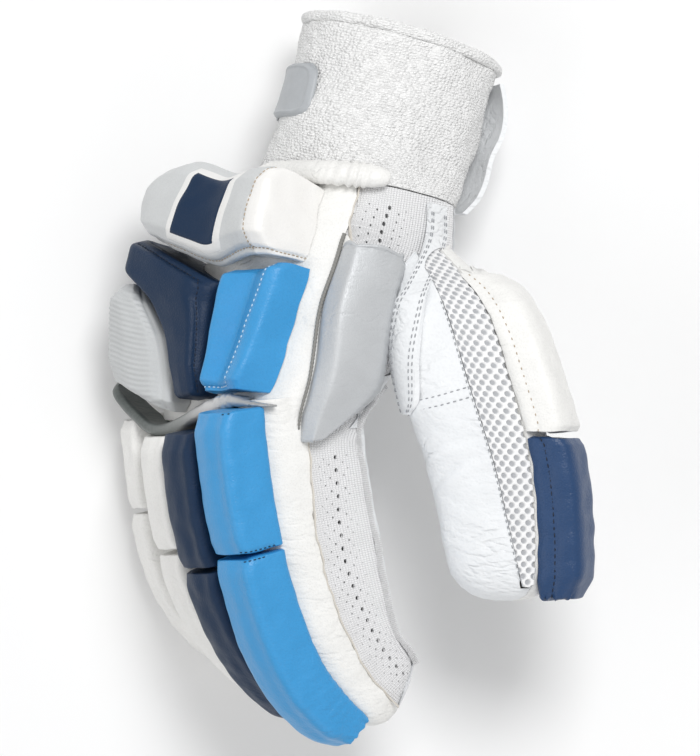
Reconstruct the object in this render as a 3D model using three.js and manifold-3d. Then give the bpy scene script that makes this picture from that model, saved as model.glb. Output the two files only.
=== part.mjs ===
// A right-hand cricket batting glove lying on its little-finger side, palm towards +X.
// +Y runs from the fingertips to the wristband and +Z up from the floor to the thumb side.
// One hollow leather form (hand, four finger stalls, thumb) is cut into the panels it is sewn
// from, and foam-filled pads sit on its back, with a towelling wristband round the opening.
import * as THREE from "three";
import { mergeVertices } from "three/addons/utils/BufferGeometryUtils.js";
import Module from "manifold-3d";

const wasm = await Module();
wasm.setup();

// Driving sizes, in millimetres.
const HAND_LENGTH = 87; // wrist rim to the finger crotches
const HAND_WIDTH = 100; // across the knuckles
const HAND_DEPTH = 50; // back to palm at the knuckles
const FINGER_LENGTH = 122; // index stall, knuckle to tip
const STALL_WIDTH = 23.5;
const STALL_DEPTH = 50;
const THUMB_LENGTH = 129;
const THUMB_WIDTH = 51;
const THUMB_DEPTH = 31;
const LEATHER = 1.8; // wall of every sewn panel
const ROLL_HEIGHT = 18; // foam roll over a finger
const ROLL_WIDTH = 24.8;
const ROLL_GAP = 3; // between the two rolls of one finger
const BACK_PAD_HEIGHT = 16;
const WRIST_ROLL_HEIGHT = 22;
const SIDE_BAR_HEIGHT = 9;
const THUMB_PAD_HEIGHT = 13;
const BAND_LENGTH = 66;
const BAND_WIDTH = 75;
const BAND_DEPTH = 74;
const TOWELLING = 3.6;
const SEAM_GAP = 0.35; // clearance between pieces that touch

// Names the columns of a table, so that each row reads by name.
const table = (columns, rows) =>
  rows.map((row) => Object.fromEntries(columns.map((name, i) => [name, row[i]])));

// The hand from the wrist rim (at 1) to the crotches (at 0). Places and half sizes are shares
// of HAND_LENGTH (along), HAND_WIDTH (side, up, half_width) and HAND_DEPTH (half_depth).
// roll turns the back towards +Z and heading leans the section, both in degrees.
const HAND = table(
  ["at", "side", "along", "up", "half_width", "half_depth", "roll", "heading", "square"],
  [
    [1.0, 0.01, 0.81, 0.455, 0.42, 0.66, 40, -11, 2.6],
    [0.7, -0.07, 0.53, 0.47, 0.455, 0.77, 41, -13, 2.8],
    [0.42, -0.21, 0.25, 0.525, 0.48, 0.62, 40, -15, 3.1],
    [0.16, -0.29, -0.03, 0.535, 0.495, 0.54, 34, -10, 3.3],
    [0.0, -0.375, -0.2, 0.53, 0.495, 0.5, 29, 0, 3.5],
  ],
);

// The four fingers: the knuckle's place and the stall's sizes as shares of the hand's and the
// stall's named sizes. The bends are headings in degrees at BENDS, shares of FINGER_LENGTH.
const BENDS = [0, 0.41, 0.7, 1];
const FINGERS = table(
  [
    ...["name", "side", "along", "up", "length", "width", "depth", "roll"],
    ...["bend_0", "bend_1", "bend_2", "bend_3"],
  ],
  [
    ["index", -0.202, -0.126, 0.865, 1.05, 1.0, 1.0, 30, 5.8, 13, 21, 55],
    ["middle", -0.332, -0.17, 0.65, 0.94, 1.0, 1.0, 26, 4.7, 15, 31, 54],
    ["ring", -0.431, -0.1, 0.405, 0.92, 1.0, 0.96, 20, 5.8, 12, 36, 50],
    ["little", -0.532, -0.03, 0.155, 0.86, 0.96, 0.9, 10, 10, 7, 36, 50],
  ],
);

// How every stall narrows towards its tip.
const TAPER = table(
  ["at", "width", "depth"],
  [
    [-0.1, 1.0, 1.0],
    [0.4, 1.0, 0.99],
    [0.57, 1.0, 0.95],
    [0.72, 0.98, 0.87],
    [0.87, 0.94, 0.77],
    [1.0, 0.88, 0.7],
  ],
);

// The thumb, from its root inside the heel of the hand to the tip, in shares of THUMB_LENGTH
// (side, along, up) and of the thumb's own width and depth.
const THUMB = table(
  ["at", "side", "along", "up", "width", "depth"],
  [
    [0.0, 0.15, 0.42, 0.46, 0.6, 0.8],
    [0.16, 0.275, 0.22, 0.63, 0.88, 1.0],
    [0.34, 0.345, -0.03, 0.69, 1.02, 1.04],
    [0.56, 0.41, -0.25, 0.7, 0.97, 1.0],
    [0.78, 0.445, -0.46, 0.69, 0.9, 0.94],
    [1.0, 0.465, -0.675, 0.68, 0.8, 0.84],
  ],
);
const THUMB_ROLL = 18; // degrees that the thumb's back faces up from +X
const THUMB_SQUARE = 2.6;

// The wristband's centre line from the rim, in shares of BAND_LENGTH.
const BAND = table(
  ["at", "side", "along", "up", "width", "depth"],
  [
    [0.0, 0.05, 1.106, 0.68, 0.98, 0.98],
    [0.34, 0.14, 1.4, 0.645, 1.01, 1.01],
    [0.68, 0.225, 1.69, 0.605, 1.02, 1.0],
    [1.0, 0.3, 1.97, 0.57, 1.03, 1.0],
  ],
);
const BAND_ROLL = 140; // degrees that the band's back faces up from +X

const radians = THREE.MathUtils.degToRad;
const DOWN = new THREE.Vector3(0, -1, 0);
const UP = new THREE.Vector3(0, 0, 1);

// The value of a column at a place along a table, smooth between rows.
function along(rows, column, at) {
  const last = rows.length - 1;
  const rising = rows[last].at > rows[0].at;
  const list = rising ? rows : [...rows].reverse();
  let i = 0;
  while (i < last - 1 && at > list[i + 1].at) i++;
  const share = (at - list[i].at) / (list[i + 1].at - list[i].at);
  const [a, b] = [list[i][column], list[i + 1][column]];
  if (share <= 0 || share >= 1) return a + (b - a) * share;
  const before = list[Math.max(i - 1, 0)];
  const after = list[Math.min(i + 2, last)];
  const span = list[i + 1].at - list[i].at;
  const slopeA = ((b - before[column]) / (list[i + 1].at - before.at || 1)) * span;
  const slopeB = ((after[column] - a) / (after.at - list[i].at || 1)) * span;
  const s2 = share * share;
  const s3 = s2 * share;
  return (
    a * (2 * s3 - 3 * s2 + 1) +
    slopeA * (s3 - 2 * s2 + share) +
    b * (3 * s2 - 2 * s3) +
    slopeB * (s3 - s2)
  );
}

// A section's frame: where it is, across (towards the little finger) and back (out of the back).
function frame(centre, roll, heading) {
  const palm = new THREE.Vector3(Math.cos(radians(roll)), 0, -Math.sin(radians(roll)));
  const across = new THREE.Vector3(-Math.sin(radians(roll)), 0, -Math.cos(radians(roll)));
  const turn = radians(heading);
  const back = palm
    .clone()
    .multiplyScalar(-Math.cos(turn))
    .addScaledVector(DOWN, Math.sin(turn));
  return { centre, across, back };
}

// A point of a section: sideways along across and outwards along back.
const place = (f, across, back) =>
  f.centre.clone().addScaledVector(f.across, across).addScaledVector(f.back, back);

// A point on a rounded-square outline, at a polar angle from across (0) over the back (90).
function onOutline(f, halfWidth, halfDepth, square, angle) {
  const [c, s] = [Math.cos(radians(angle)), Math.sin(radians(angle))];
  const reach =
    (Math.abs(c / halfWidth) ** square + Math.abs(s / halfDepth) ** square) ** (-1 / square);
  return place(f, reach * c, reach * s);
}

// The same outline as a ring of points, closer together round the corners.
function ring(f, halfWidth, halfDepth, square, count) {
  return Array.from({ length: count }, (_, i) => {
    const turn = ((i + 0.5) / count) * 2 * Math.PI;
    const [c, s] = [Math.cos(turn), Math.sin(turn)];
    return place(
      f,
      halfWidth * Math.sign(c) * Math.abs(c) ** (2 / square),
      halfDepth * Math.sign(s) * Math.abs(s) ** (2 / square),
    );
  });
}

// The hand's section at a share of its length, grown outwards by a height.
function handSection(at, grow = 0) {
  const get = (column) => along(HAND, column, at);
  const centre = new THREE.Vector3(
    get("side") * HAND_WIDTH,
    get("along") * HAND_LENGTH,
    get("up") * HAND_WIDTH,
  );
  return {
    ...frame(centre, get("roll"), get("heading")),
    halfWidth: get("half_width") * HAND_WIDTH + grow,
    halfDepth: get("half_depth") * HAND_DEPTH + grow,
    square: get("square"),
  };
}

// A point on the hand: at the share of its length, at the polar angle, a height above it.
function onHand(at, angle, height = 0) {
  const s = handSection(at, height);
  return onOutline(s, s.halfWidth, s.halfDepth, s.square, angle);
}

const STEPS = 60;

// A finger's centre line, integrated from its headings. Distances run from the knuckle.
function fingerSpine(finger) {
  const length = finger.length * FINGER_LENGTH;
  const bends = table(["at", "heading"], BENDS.map((at, i) => [at, finger[`bend_${i}`]]));
  const palm = frame(new THREE.Vector3(), finger.roll, 0).back.negate();
  const heading = (at) => along(bends, "heading", Math.max(at, 0) * finger.length);
  const walk = (from, to) => {
    const points = [];
    const p = new THREE.Vector3(
      finger.side * HAND_WIDTH,
      finger.along * HAND_LENGTH,
      finger.up * HAND_WIDTH,
    );
    const step = ((to - from) / STEPS) * length;
    for (let i = 0; i <= STEPS; i++) {
      points.push(p.clone());
      const turn = radians(heading(from + ((i + 0.5) / STEPS) * (to - from)));
      p.addScaledVector(DOWN, step * Math.cos(turn)).addScaledVector(palm, step * Math.sin(turn));
    }
    return points;
  };
  const forward = walk(0, 1.3);
  const backward = walk(0, -0.2);
  return (at) => {
    const list = at < 0 ? backward : forward;
    const place = (Math.abs(at) / (at < 0 ? 0.2 : 1.3)) * STEPS;
    const i = Math.min(Math.floor(place), STEPS - 1);
    const centre = list[i].clone().lerp(list[i + 1], place - i);
    return frame(centre, finger.roll, heading(Math.min(at, 1.1)));
  };
}

const STALL_SQUARE = 3;
for (const finger of FINGERS) finger.spine = fingerSpine(finger);

// A finger's section at a share of its length, grown outwards by a height.
function fingerSection(finger, at, grow = 0) {
  const clamped = Math.min(at, 1);
  return {
    ...finger.spine(at),
    halfWidth: (along(TAPER, "width", clamped) * finger.width * STALL_WIDTH) / 2 + grow,
    halfDepth: (along(TAPER, "depth", clamped) * finger.depth * STALL_DEPTH) / 2 + grow,
    square: STALL_SQUARE,
  };
}

// The thumb's and the wristband's sections follow a centre line of table rows. A level section
// lies in a plane across the glove. Otherwise it stands square to its centre line.
function pathSection(rows, at, unit, width, depth, roll, grow, level) {
  const point = (a) =>
    new THREE.Vector3(along(rows, "side", a), along(rows, "along", a), along(rows, "up", a));
  const centre = point(at).multiplyScalar(unit);
  const ahead = level
    ? DOWN.clone()
    : point(at + 0.02)
        .sub(point(at - 0.02))
        .normalize();
  const wanted = new THREE.Vector3(Math.cos(radians(roll)), 0, Math.sin(radians(roll)));
  const back = wanted.addScaledVector(ahead, -wanted.dot(ahead)).normalize();
  const across = new THREE.Vector3().crossVectors(ahead, back);
  if (across.dot(UP) > 0) across.negate();
  const clamped = Math.min(at, 1);
  return {
    centre,
    across,
    back,
    ahead,
    halfWidth: (along(rows, "depth", clamped) * depth) / 2 + grow,
    halfDepth: (along(rows, "width", clamped) * width) / 2 + grow,
  };
}

const thumbSection = (at, grow = 0) => ({
  ...pathSection(THUMB, at, THUMB_LENGTH, THUMB_WIDTH, THUMB_DEPTH, THUMB_ROLL, grow, true),
  square: THUMB_SQUARE,
});

const BAND_SQUARE = 2.2;
const bandSection = (at, grow = 0) => ({
  ...pathSection(BAND, at, BAND_LENGTH, BAND_WIDTH, BAND_DEPTH, BAND_ROLL, grow, false),
  square: BAND_SQUARE,
});

const onThumb = (at, angle, height = 0) => {
  const s = thumbSection(at, height);
  return onOutline(s, s.halfWidth, s.halfDepth, s.square, angle);
};

// A closed geometry from its points and triangles, turned to face outwards.
function closed(points, triangles) {
  let volume = 0;
  for (let i = 0; i < triangles.length; i += 3) {
    const [a, b, c] = [0, 1, 2].map((k) => points[triangles[i + k]]);
    volume += a.dot(b.clone().cross(c));
  }
  if (volume < 0)
    for (let i = 0; i < triangles.length; i += 3)
      [triangles[i + 1], triangles[i + 2]] = [triangles[i + 2], triangles[i + 1]];
  return new THREE.BufferGeometry().setFromPoints(points).setIndex(triangles);
}

// A solid skinned over rings of equal count, its ends closed by fans.
function loft(rings) {
  const count = rings[0].length;
  const points = rings.flat();
  const triangles = [];
  for (let r = 0; r + 1 < rings.length; r++)
    for (let i = 0; i < count; i++) {
      const [a, b] = [r * count + i, r * count + ((i + 1) % count)];
      triangles.push(a, b, b + count, a, b + count, a + count);
    }
  for (const r of [0, rings.length - 1]) {
    const centre = new THREE.Vector3();
    rings[r].forEach((p) => centre.addScaledVector(p, 1 / count));
    const hub = points.push(centre) - 1;
    for (let i = 0; i < count; i++) {
      const [a, b] = [r * count + i, r * count + ((i + 1) % count)];
      triangles.push(...(r ? [hub, a, b] : [hub, b, a]));
    }
  }
  return closed(points, triangles);
}

// A solid between two grids of points of the same size, with a wall round their edge.
function slab(top, bottom) {
  const [rows, columns] = [top.length, top[0].length];
  const points = [...top.flat(), ...bottom.flat()];
  const under = rows * columns;
  const triangles = [];
  for (let r = 0; r + 1 < rows; r++)
    for (let c = 0; c + 1 < columns; c++) {
      const [a, b] = [r * columns + c, r * columns + c + 1];
      const [d, e] = [a + columns, b + columns];
      triangles.push(a, b, e, a, e, d);
      triangles.push(under + a, under + e, under + b, under + a, under + d, under + e);
    }
  const rim = [];
  for (let c = 0; c < columns - 1; c++) rim.push(c);
  for (let r = 0; r < rows - 1; r++) rim.push(r * columns + columns - 1);
  for (let c = columns - 1; c > 0; c--) rim.push((rows - 1) * columns + c);
  for (let r = rows - 1; r > 0; r--) rim.push(r * columns);
  rim.forEach((a, i) => {
    const b = rim[(i + 1) % rim.length];
    triangles.push(a, under + a, under + b, a, under + b, b);
  });
  return closed(points, triangles);
}

// A geometry as a manifold solid, and back.
function solid(geometry) {
  const merged = mergeVertices(geometry, 1e-4);
  return new wasm.Manifold(
    new wasm.Mesh({
      numProp: 3,
      vertProperties: merged.getAttribute("position").array,
      triVerts: new Uint32Array(merged.index.array),
    }),
  );
}

function geometryOf(made) {
  const mesh = made.getMesh();
  const positions = new Float32Array(mesh.numVert * 3);
  for (let i = 0; i < mesh.numVert; i++)
    positions.set(mesh.vertProperties.subarray(i * mesh.numProp, i * mesh.numProp + 3), i * 3);
  const geometry = new THREE.BufferGeometry();
  geometry.setAttribute("position", new THREE.BufferAttribute(positions, 3));
  geometry.setIndex(new THREE.BufferAttribute(mesh.triVerts, 1));
  geometry.computeVertexNormals();
  return geometry;
}

const unite = (solids) => solids.reduce((a, b) => a.add(b));

// The largest separate body of a solid, which drops slivers that a cut leaves.
const largest = (made) =>
  made.decompose().reduce((a, b) => (a.volume() > b.volume() ? a : b));

// A tube closed by a rounded tip. Sections are taken at the given shares, then the tip.
function tipped(section, shares, tipShare, count, grow) {
  const rings = shares.map((at) => {
    const s = section(at, grow);
    return ring(s, s.halfWidth, s.halfDepth, s.square, count);
  });
  for (const turn of [45, 78]) {
    const at = 1 - tipShare + tipShare * Math.sin(radians(turn));
    const s = section(at, grow);
    const shrink = Math.cos(radians(turn)) ** 0.7;
    rings.push(ring(s, s.halfWidth * shrink, s.halfDepth * shrink, s.square, count));
  }
  return loft(rings);
}

const STALL_SHARES = [-0.03, 0.25, 0.47, 0.65, 0.8, 0.9];
const TIP_SHARE = 0.1;

// A finger stall's form. A negative grow gives its hollow, with the tip drawn back too.
function stallForm(finger, grow) {
  const pull = grow / (finger.length * FINGER_LENGTH);
  const section = (at, g) => fingerSection(finger, at + pull * (at < 0 ? -1.4 : at), g);
  return solid(tipped(section, STALL_SHARES, TIP_SHARE, grow < 0 ? 8 : 12, grow));
}

function thumbForm(grow) {
  const shares = [0, 0.16, 0.34, 0.55, 0.75, 0.88];
  const pull = grow / THUMB_LENGTH;
  const section = (at, g) => thumbSection(at + pull * at, g);
  return solid(tipped(section, shares, 0.12, grow < 0 ? 10 : 12, grow));
}

// The hand's form. The hollow runs out through the wrist rim and stops short at the crotches.
function handForm(grow, hollow = false) {
  const crotch = hollow ? LEATHER / HAND_LENGTH : 0;
  const shares = [hollow ? 1.1 : 1, 0.75, 0.5, 0.25, crotch];
  const rings = shares.map((at) => {
    const s = handSection(at, grow);
    return ring(s, s.halfWidth, s.halfDepth, s.square, hollow ? 14 : 16);
  });
  return solid(loft(rings));
}

// The whole glove's skin: every form joined, less every hollow joined, down to the floor.
const BEYOND = 900;
const block = new THREE.BoxGeometry(BEYOND, BEYOND, BEYOND).translate(0, 0, -BEYOND / 2);
const floor = solid(block.deleteAttribute("normal").deleteAttribute("uv"));
const outer = unite([handForm(0), ...FINGERS.map((f) => stallForm(f, 0)), thumbForm(0)]);
const hollow = unite([
  handForm(-LEATHER, true),
  ...FINGERS.map((f) => stallForm(f, -LEATHER)),
  thumbForm(-LEATHER),
]);
const skin = outer.subtract(hollow).subtract(floor);

// The same forms grown by the seam clearance: what lies on the skin is cut back to them.
const around = unite([
  handForm(SEAM_GAP),
  ...FINGERS.map((f) => stallForm(f, SEAM_GAP)),
  thumbForm(SEAM_GAP),
  floor,
]);

// A layer of a form: rectangles across it between two heights, each a share of half its depth.
function layer(section, rows, side) {
  const rings = rows.map(([at, from, to]) => {
    const s = section(at);
    const width = s.halfWidth + side;
    const [low, high] = [s.halfDepth * from, s.halfDepth * to];
    return [
      place(s, -width, low),
      place(s, width, low),
      place(s, width, high),
      place(s, -width, high),
    ];
  });
  return solid(loft(rings));
}

// Leather runs from the back down to its back edge and from the palm up to its palm edge, as
// shares of half the depth. The knit and the sides of the fingers fill the band between them,
// and stop at TIP_SEAM along a finger, where back and palm meet round the tip.
const BACK_EDGE = 0.15;
const PALM_EDGE = -0.8;
const TIP_SEAM = 0.93;
const DEEP = 1.6;
const SEAM_SHARE = SEAM_GAP / (STALL_DEPTH / 2);
const HAND_EDGES = table(
  ["at", "back", "palm"],
  [
    [1.08, 0.75, -0.75],
    [0.75, 0.73, -0.75],
    [0.5, 0.48, -0.75],
    [0.25, 0.25, -0.75],
    [0, BACK_EDGE, -0.75],
    [-0.04, BACK_EDGE, -0.75],
  ],
);
const FINGER_ROWS = [-0.06, 0.25, 0.47, 0.65, 0.8, TIP_SEAM - 0.03, TIP_SEAM + 0.03, 1.12];
const FINGER_EDGES = FINGER_ROWS.map((at) => ({
  at,
  back: BACK_EDGE,
  palm: at > TIP_SEAM ? BACK_EDGE - SEAM_SHARE : PALM_EDGE,
}));

// Each span can be widened by a clearance, so that what is left outside it keeps clear.
const widening = (clearance) => clearance / (STALL_DEPTH / 2);
const backSpan = (clearance) => (row) => [row.back - widening(clearance), DEEP];
const palmSpan = (clearance) => (row) => [-DEEP, row.palm + widening(clearance)];

function handLayer(span) {
  const rows = HAND_EDGES.map((row) => [row.at, ...span(row)]);
  return layer((at) => handSection(at), rows, 3);
}

function fingerLayer(finger, span, clearance) {
  const rows = FINGER_EDGES.map((row) => [row.at, ...span(row)]);
  rows[0][0] -= clearance / FINGER_LENGTH;
  return layer((at) => fingerSection(finger, at), rows, 0.9 + clearance);
}

const layersOf = (span, clearance) =>
  unite([handLayer(span), ...FINGERS.map((f) => fingerLayer(f, span, clearance))]);
const backLayers = (clearance) => layersOf(backSpan(clearance), clearance);
const palmLayers = (clearance) => layersOf(palmSpan(clearance), clearance);

// A sector of the thumb between two angles, widened by an angle each way.
function sector(rows, widen) {
  const rings = rows.map(([at, from, to]) => [
    thumbSection(at).centre,
    ...[0, 0.33, 0.67, 1].map((share) =>
      onThumb(at, from - widen + (to - from + 2 * widen) * share, THUMB_PAD_HEIGHT / 2),
    ),
  ]);
  return solid(loft(rings));
}

const group = new THREE.Group();

function add(name, made, colour, roughness, metalness = 0) {
  const material = new THREE.MeshStandardMaterial({ color: colour, roughness, metalness });
  const mesh = new THREE.Mesh(geometryOf(largest(made)), material);
  mesh.name = name;
  group.add(mesh);
}

const [BLUE, NAVY, DEEP_BLUE, WHITE] = [0x3e9bd8, 0x1d3956, 0x2a4a7c, 0xeeece7];
const [LEATHER_WHITE, CREAM, GREY] = [0xe9e8e6, 0xd6d7d6, 0xcbcdcd];
const [SILVER, BAND_METAL, PIPING, KNIT] = [0xb6bcc2, 0x8e9896, 0x77797a, 0xe4e4e3];
const TOWEL = 0xe2e2e0;

// The sewn panels of the hand and fingers.
const thumbSkin = skin.intersect(thumbForm(1.2).subtract(handForm(0.1)));
const handSkin = skin.subtract(thumbForm(1.6).subtract(handForm(-0.25)));
const palmSkin = handSkin.subtract(backLayers(SEAM_GAP));

// A seam across the knuckles parts the leather of the hand from that of each finger.
const KNUCKLE_SEAM = HAND[HAND.length - 1].along * HAND_LENGTH - 1;
const pastLine = new THREE.BoxGeometry(BEYOND, BEYOND, BEYOND);
pastLine.translate(0, KNUCKLE_SEAM - BEYOND / 2, 0);
const pastSeam = solid(pastLine.deleteAttribute("normal").deleteAttribute("uv"));
const fingerSide = pastSeam.translate([0, -SEAM_GAP, 0]);
add(
  "back_leather",
  handSkin.intersect(backLayers(0)).subtract(pastSeam),
  LEATHER_WHITE,
  0.6,
);
add(
  "palm_leather",
  palmSkin.intersect(palmLayers(0)).subtract(pastSeam),
  LEATHER_WHITE,
  0.6,
);
FINGERS.forEach((finger) => {
  const back = fingerLayer(finger, backSpan(0), 0).intersect(fingerSide);
  const front = fingerLayer(finger, palmSpan(0), 0).intersect(fingerSide);
  add(`${finger.name}_back`, handSkin.intersect(back), LEATHER_WHITE, 0.6);
  add(`${finger.name}_front`, palmSkin.intersect(front), LEATHER_WHITE, 0.6);
});
const SIDES = ["knit_gusset", "fourchette_1", "fourchette_2", "fourchette_3", "ulnar_gusset"];
handSkin
  .subtract(backLayers(SEAM_GAP))
  .subtract(palmLayers(SEAM_GAP))
  .decompose()
  .sort((one, other) => other.volume() - one.volume())
  .slice(0, SIDES.length)
  .sort((one, other) => other.boundingBox().max[2] - one.boundingBox().max[2])
  .forEach((side, i) => add(SIDES[i], side, KNIT, 0.9));

// The sewn panels of the thumb: a strip of mesh between the leather and the padded back.
const MESH_ROWS = [
  [-0.02, 116, 150],
  [0.16, 116, 162],
  [0.34, 116, 158],
  [0.55, 118, 156],
  [0.75, 121, 150],
  [0.88, 123, 143],
  [0.96, 126, 136],
];
const THUMB_BACK_ROWS = [
  [-0.1, -15, 114.5],
  [0.16, -15, 114.5],
  [0.34, -15, 114.5],
  [0.55, -15, 116.5],
  [0.75, -15, 119.5],
  [0.88, -15, 121.5],
  [1.1, -15, 124],
];
const SEAM_ANGLE = 1;
const meshSector = sector(MESH_ROWS, 0);
add("thumb_mesh", thumbSkin.intersect(meshSector), KNIT, 0.9);
const withoutMesh = thumbSkin.subtract(sector(MESH_ROWS, SEAM_ANGLE));
add("thumb_back", withoutMesh.intersect(sector(THUMB_BACK_ROWS, 0)), LEATHER_WHITE, 0.6);
add(
  "thumb_leather",
  withoutMesh.subtract(sector(THUMB_BACK_ROWS, SEAM_ANGLE)),
  LEATHER_WHITE,
  0.6,
);

// A foam pad drawn as a grid of rows. A row lists, from one side to the other, how far along
// the form, how far across it in millimetres and how high above its back each point stands.
function quilt(section, rows, sink) {
  const grid = (low) =>
    rows.map(({ at, across, height }) =>
      at.map((a, i) => {
        const s = section(a);
        return place(s, across[i], low ? s.halfDepth * sink : s.halfDepth + height[i]);
      }),
    );
  return solid(slab(grid(false), grid(true))).subtract(around);
}

// A pad of constant section: stations of [along, from, to, height] with bevelled shoulders.
function roll(section, stations, bevel, sink, lean = 0) {
  const rows = stations.map(([at, from, to, height]) => {
    const middle = (from + to) / 2;
    return {
      at: [at, at, at, at, at],
      across: [from, from + bevel, middle, to - bevel, to],
      height: [
        height - bevel * 1.5,
        height - lean,
        height - lean / 2,
        height,
        height - bevel,
      ],
    };
  });
  return quilt(section, rows, sink);
}

// Finger rolls: one over the near half of each finger and one over its tip.
const FINGER_ROLLS = table(
  ["start", "split", "end", "colour"],
  [
    [0.015, 0.405, 0.925, BLUE],
    [0.05, 0.455, 0.94, NAVY],
    [0.125, 0.47, 0.97, WHITE],
    [0.15, 0.45, 0.97, WHITE],
  ],
);
FINGERS.forEach((finger, i) => {
  const { start, split, end, colour } = FINGER_ROLLS[i];
  const section = (at) => fingerSection(finger, at);
  const half = (ROLL_WIDTH / 2) * finger.width;
  const gap = ROLL_GAP / 2 / FINGER_LENGTH;
  const row = (share, from, to, height, width = 1) => [
    from + (to - from) * share,
    -half * width,
    half * width,
    ROLL_HEIGHT * height,
  ];
  const near = [
    row(0, start, split - gap, 0.8),
    row(0.12, start, split - gap, 1),
    row(0.88, start, split - gap, 1),
    row(1, start, split - gap, 0.8),
  ];
  add(`${finger.name}_roll_near`, roll(section, near, 3, 0.88, 1.5), colour, 0.45);
  const far = [
    row(0, split + gap, end, 0.8),
    row(0.1, split + gap, end, 1),
    row(0.45, split + gap, end, 1),
    row(0.72, split + gap, end, 0.98, 0.97),
    row(0.9, split + gap, end, 0.85, 0.9),
    row(1, split + gap, end, 0.6, 0.78),
  ];
  add(`${finger.name}_roll_far`, roll(section, far, 3, 0.85, 1.5), colour, 0.45);
});

// Pads on the back of the hand.
const hand = (at) => handSection(at);
const ROLL_LOW = [
  [0.59, 0.575, 0.585, 0.52, 0.585, 0.64, 0.685, 0.71],
  [-31, -27, -14, 7, 30, 45, 55, 60],
];
const ROLL_TOP = [
  [0.93, 1.01, 1.02, 0.985, 1.06, 1.02, 0.93, 0.88],
  [-22, -20.5, -9.5, 9.5, 31.5, 45, 54.5, 60],
];
const ROLL_CREST = [-0.4, 0.95, 1, 0.8, 1.05, 1, 0.8, 0.2];
const mix = (low, top, share) => low.map((value, i) => value + (top[i] - value) * share);
const wristRow = (share, sunk) => ({
  at: mix(ROLL_LOW[0], ROLL_TOP[0], share),
  across: mix(ROLL_LOW[1], ROLL_TOP[1], share),
  height: ROLL_CREST.map((h) => (h + 0.4 * share - sunk) * WRIST_ROLL_HEIGHT),
});
const WRIST_ROWS = [
  [0, 0.5],
  [0.16, 0.05],
  [0.5, 0],
  [0.86, 0.05],
  [1, 0.45],
];
// A quilt row between two ends, each given as [along, across].
const between = ([atA, acrossA], [atB, acrossB], shares, heights) => ({
  at: shares.map((share) => atA + (atB - atA) * share),
  across: shares.map((share) => acrossA + (acrossB - acrossA) * share),
  height: heights.map((height) => height * BACK_PAD_HEIGHT),
});

const NAVY_SHARES = [0, 0.1, 0.5, 0.9, 1];
const navyRows = [
  [[0.475, 7], [0.68, 61], [0.4, 0.5, 0.6, 0.6, 0.3]],
  [[0.43, 7], [0.645, 63.5], [0.6, 0.95, 1.05, 1.05, 0.5]],
  [[0.385, 6.5], [0.51, 62], [0.6, 0.95, 1.05, 1.05, 0.5]],
  [[0.34, 5], [0.4, 41], [0.6, 0.95, 1, 0.95, 0.6]],
  [[0.25, 2], [0.28, 26.5], [0.6, 0.95, 1, 0.95, 0.6]],
  [[0.15, -2], [0.16, 16.5], [0.6, 0.95, 1, 0.95, 0.6]],
  [[0.07, -6.5], [0.06, 9], [0.3, 0.7, 0.75, 0.7, 0.3]],
].map(([from, to, heights]) => between(from, to, NAVY_SHARES, heights));
add("hand_pad_navy", quilt(hand, navyRows, 0.3), NAVY, 0.5);

const BLUE_SHARES = [0, 0.06, 0.33, 0.88, 1];
const blueRows = [
  [[0.55, -32.5], [0.505, 0.5], [-0.5, 0.3, 0.4, 0.5, 0.4]],
  [[0.51, -33.5], [0.47, 1.5], [-0.4, 0.65, 0.6, 0.95, 0.6]],
  [[0.3, -35], [0.27, -2], [-0.35, 0.8, 0.65, 0.95, 0.6]],
  [[0.12, -37.5], [0.115, -7], [-0.3, 0.95, 0.7, 0.95, 0.6]],
  [[0.087, -38], [0.08, -9], [-0.3, 0.7, 0.5, 0.6, 0.4]],
].map(([from, to, heights]) => between(from, to, BLUE_SHARES, heights));
add("hand_pad_blue", quilt(hand, blueRows, 0.3), BLUE, 0.45);

const GREY_SHARES = [0, 0.15, 0.5, 0.86, 1];
const greyRows = [
  [[0.48, 57], [0.475, 62], [0.2, 0.5, 0.5, 0.5, 0.2]],
  [[0.385, 42.5], [0.39, 65], [0.6, 1, 1.05, 0.95, 0.4]],
  [[0.265, 29], [0.275, 66], [0.6, 1, 1.1, 0.95, 0.4]],
  [[0.145, 19.5], [0.18, 66], [0.6, 1, 1.1, 0.95, 0.4]],
  [[0.055, 12.5], [0.12, 62], [0.6, 0.95, 1, 0.8, 0.3]],
  [[0.02, 13.5], [0.09, 50], [0.3, 0.5, 0.55, 0.4, 0.2]],
].map(([from, to, heights]) => between(from, to, GREY_SHARES, heights));
add("hand_pad_grey", quilt(hand, greyRows, 0.2), GREY, 0.55);

// The metallic strip across the knuckles, between the pads of the hand and the finger rolls.
const KNUCKLE_ACROSS = [-45, -33, -12, 10, 28, 46, 59];
const KNUCKLE_TOP = [0.085, 0.075, 0.06, 0.01, -0.01, 0.07, 0.11];
const knuckleRows = [
  [0, 1],
  [0.01, 5],
  [0.03, 5],
  [0.04, 1],
].map(([down, height]) => ({
  at: KNUCKLE_TOP.map((top) => top - down),
  across: KNUCKLE_ACROSS,
  height: KNUCKLE_ACROSS.map((across) => (Math.abs(across) > 45 ? -6 : height)),
}));
add("knuckle_strip", quilt(hand, knuckleRows, 0.5), BAND_METAL, 0.35, 0.4);

// A plate that follows a form: rows of [along, angle, angle, ...] between two heights. The
// outermost points are drawn down to edge heights.
function plate(point, rows, low, high, edge) {
  const last = rows.length - 1;
  const grid = (height) =>
    rows.map(([at, ...angles], r) =>
      angles.map((angle, c) => {
        const outermost = r === 0 || r === last || c === 0 || c === angles.length - 1;
        return point(at, angle, outermost && height > low ? edge : height);
      }),
    );
  return solid(slab(grid(high), grid(low)));
}

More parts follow.
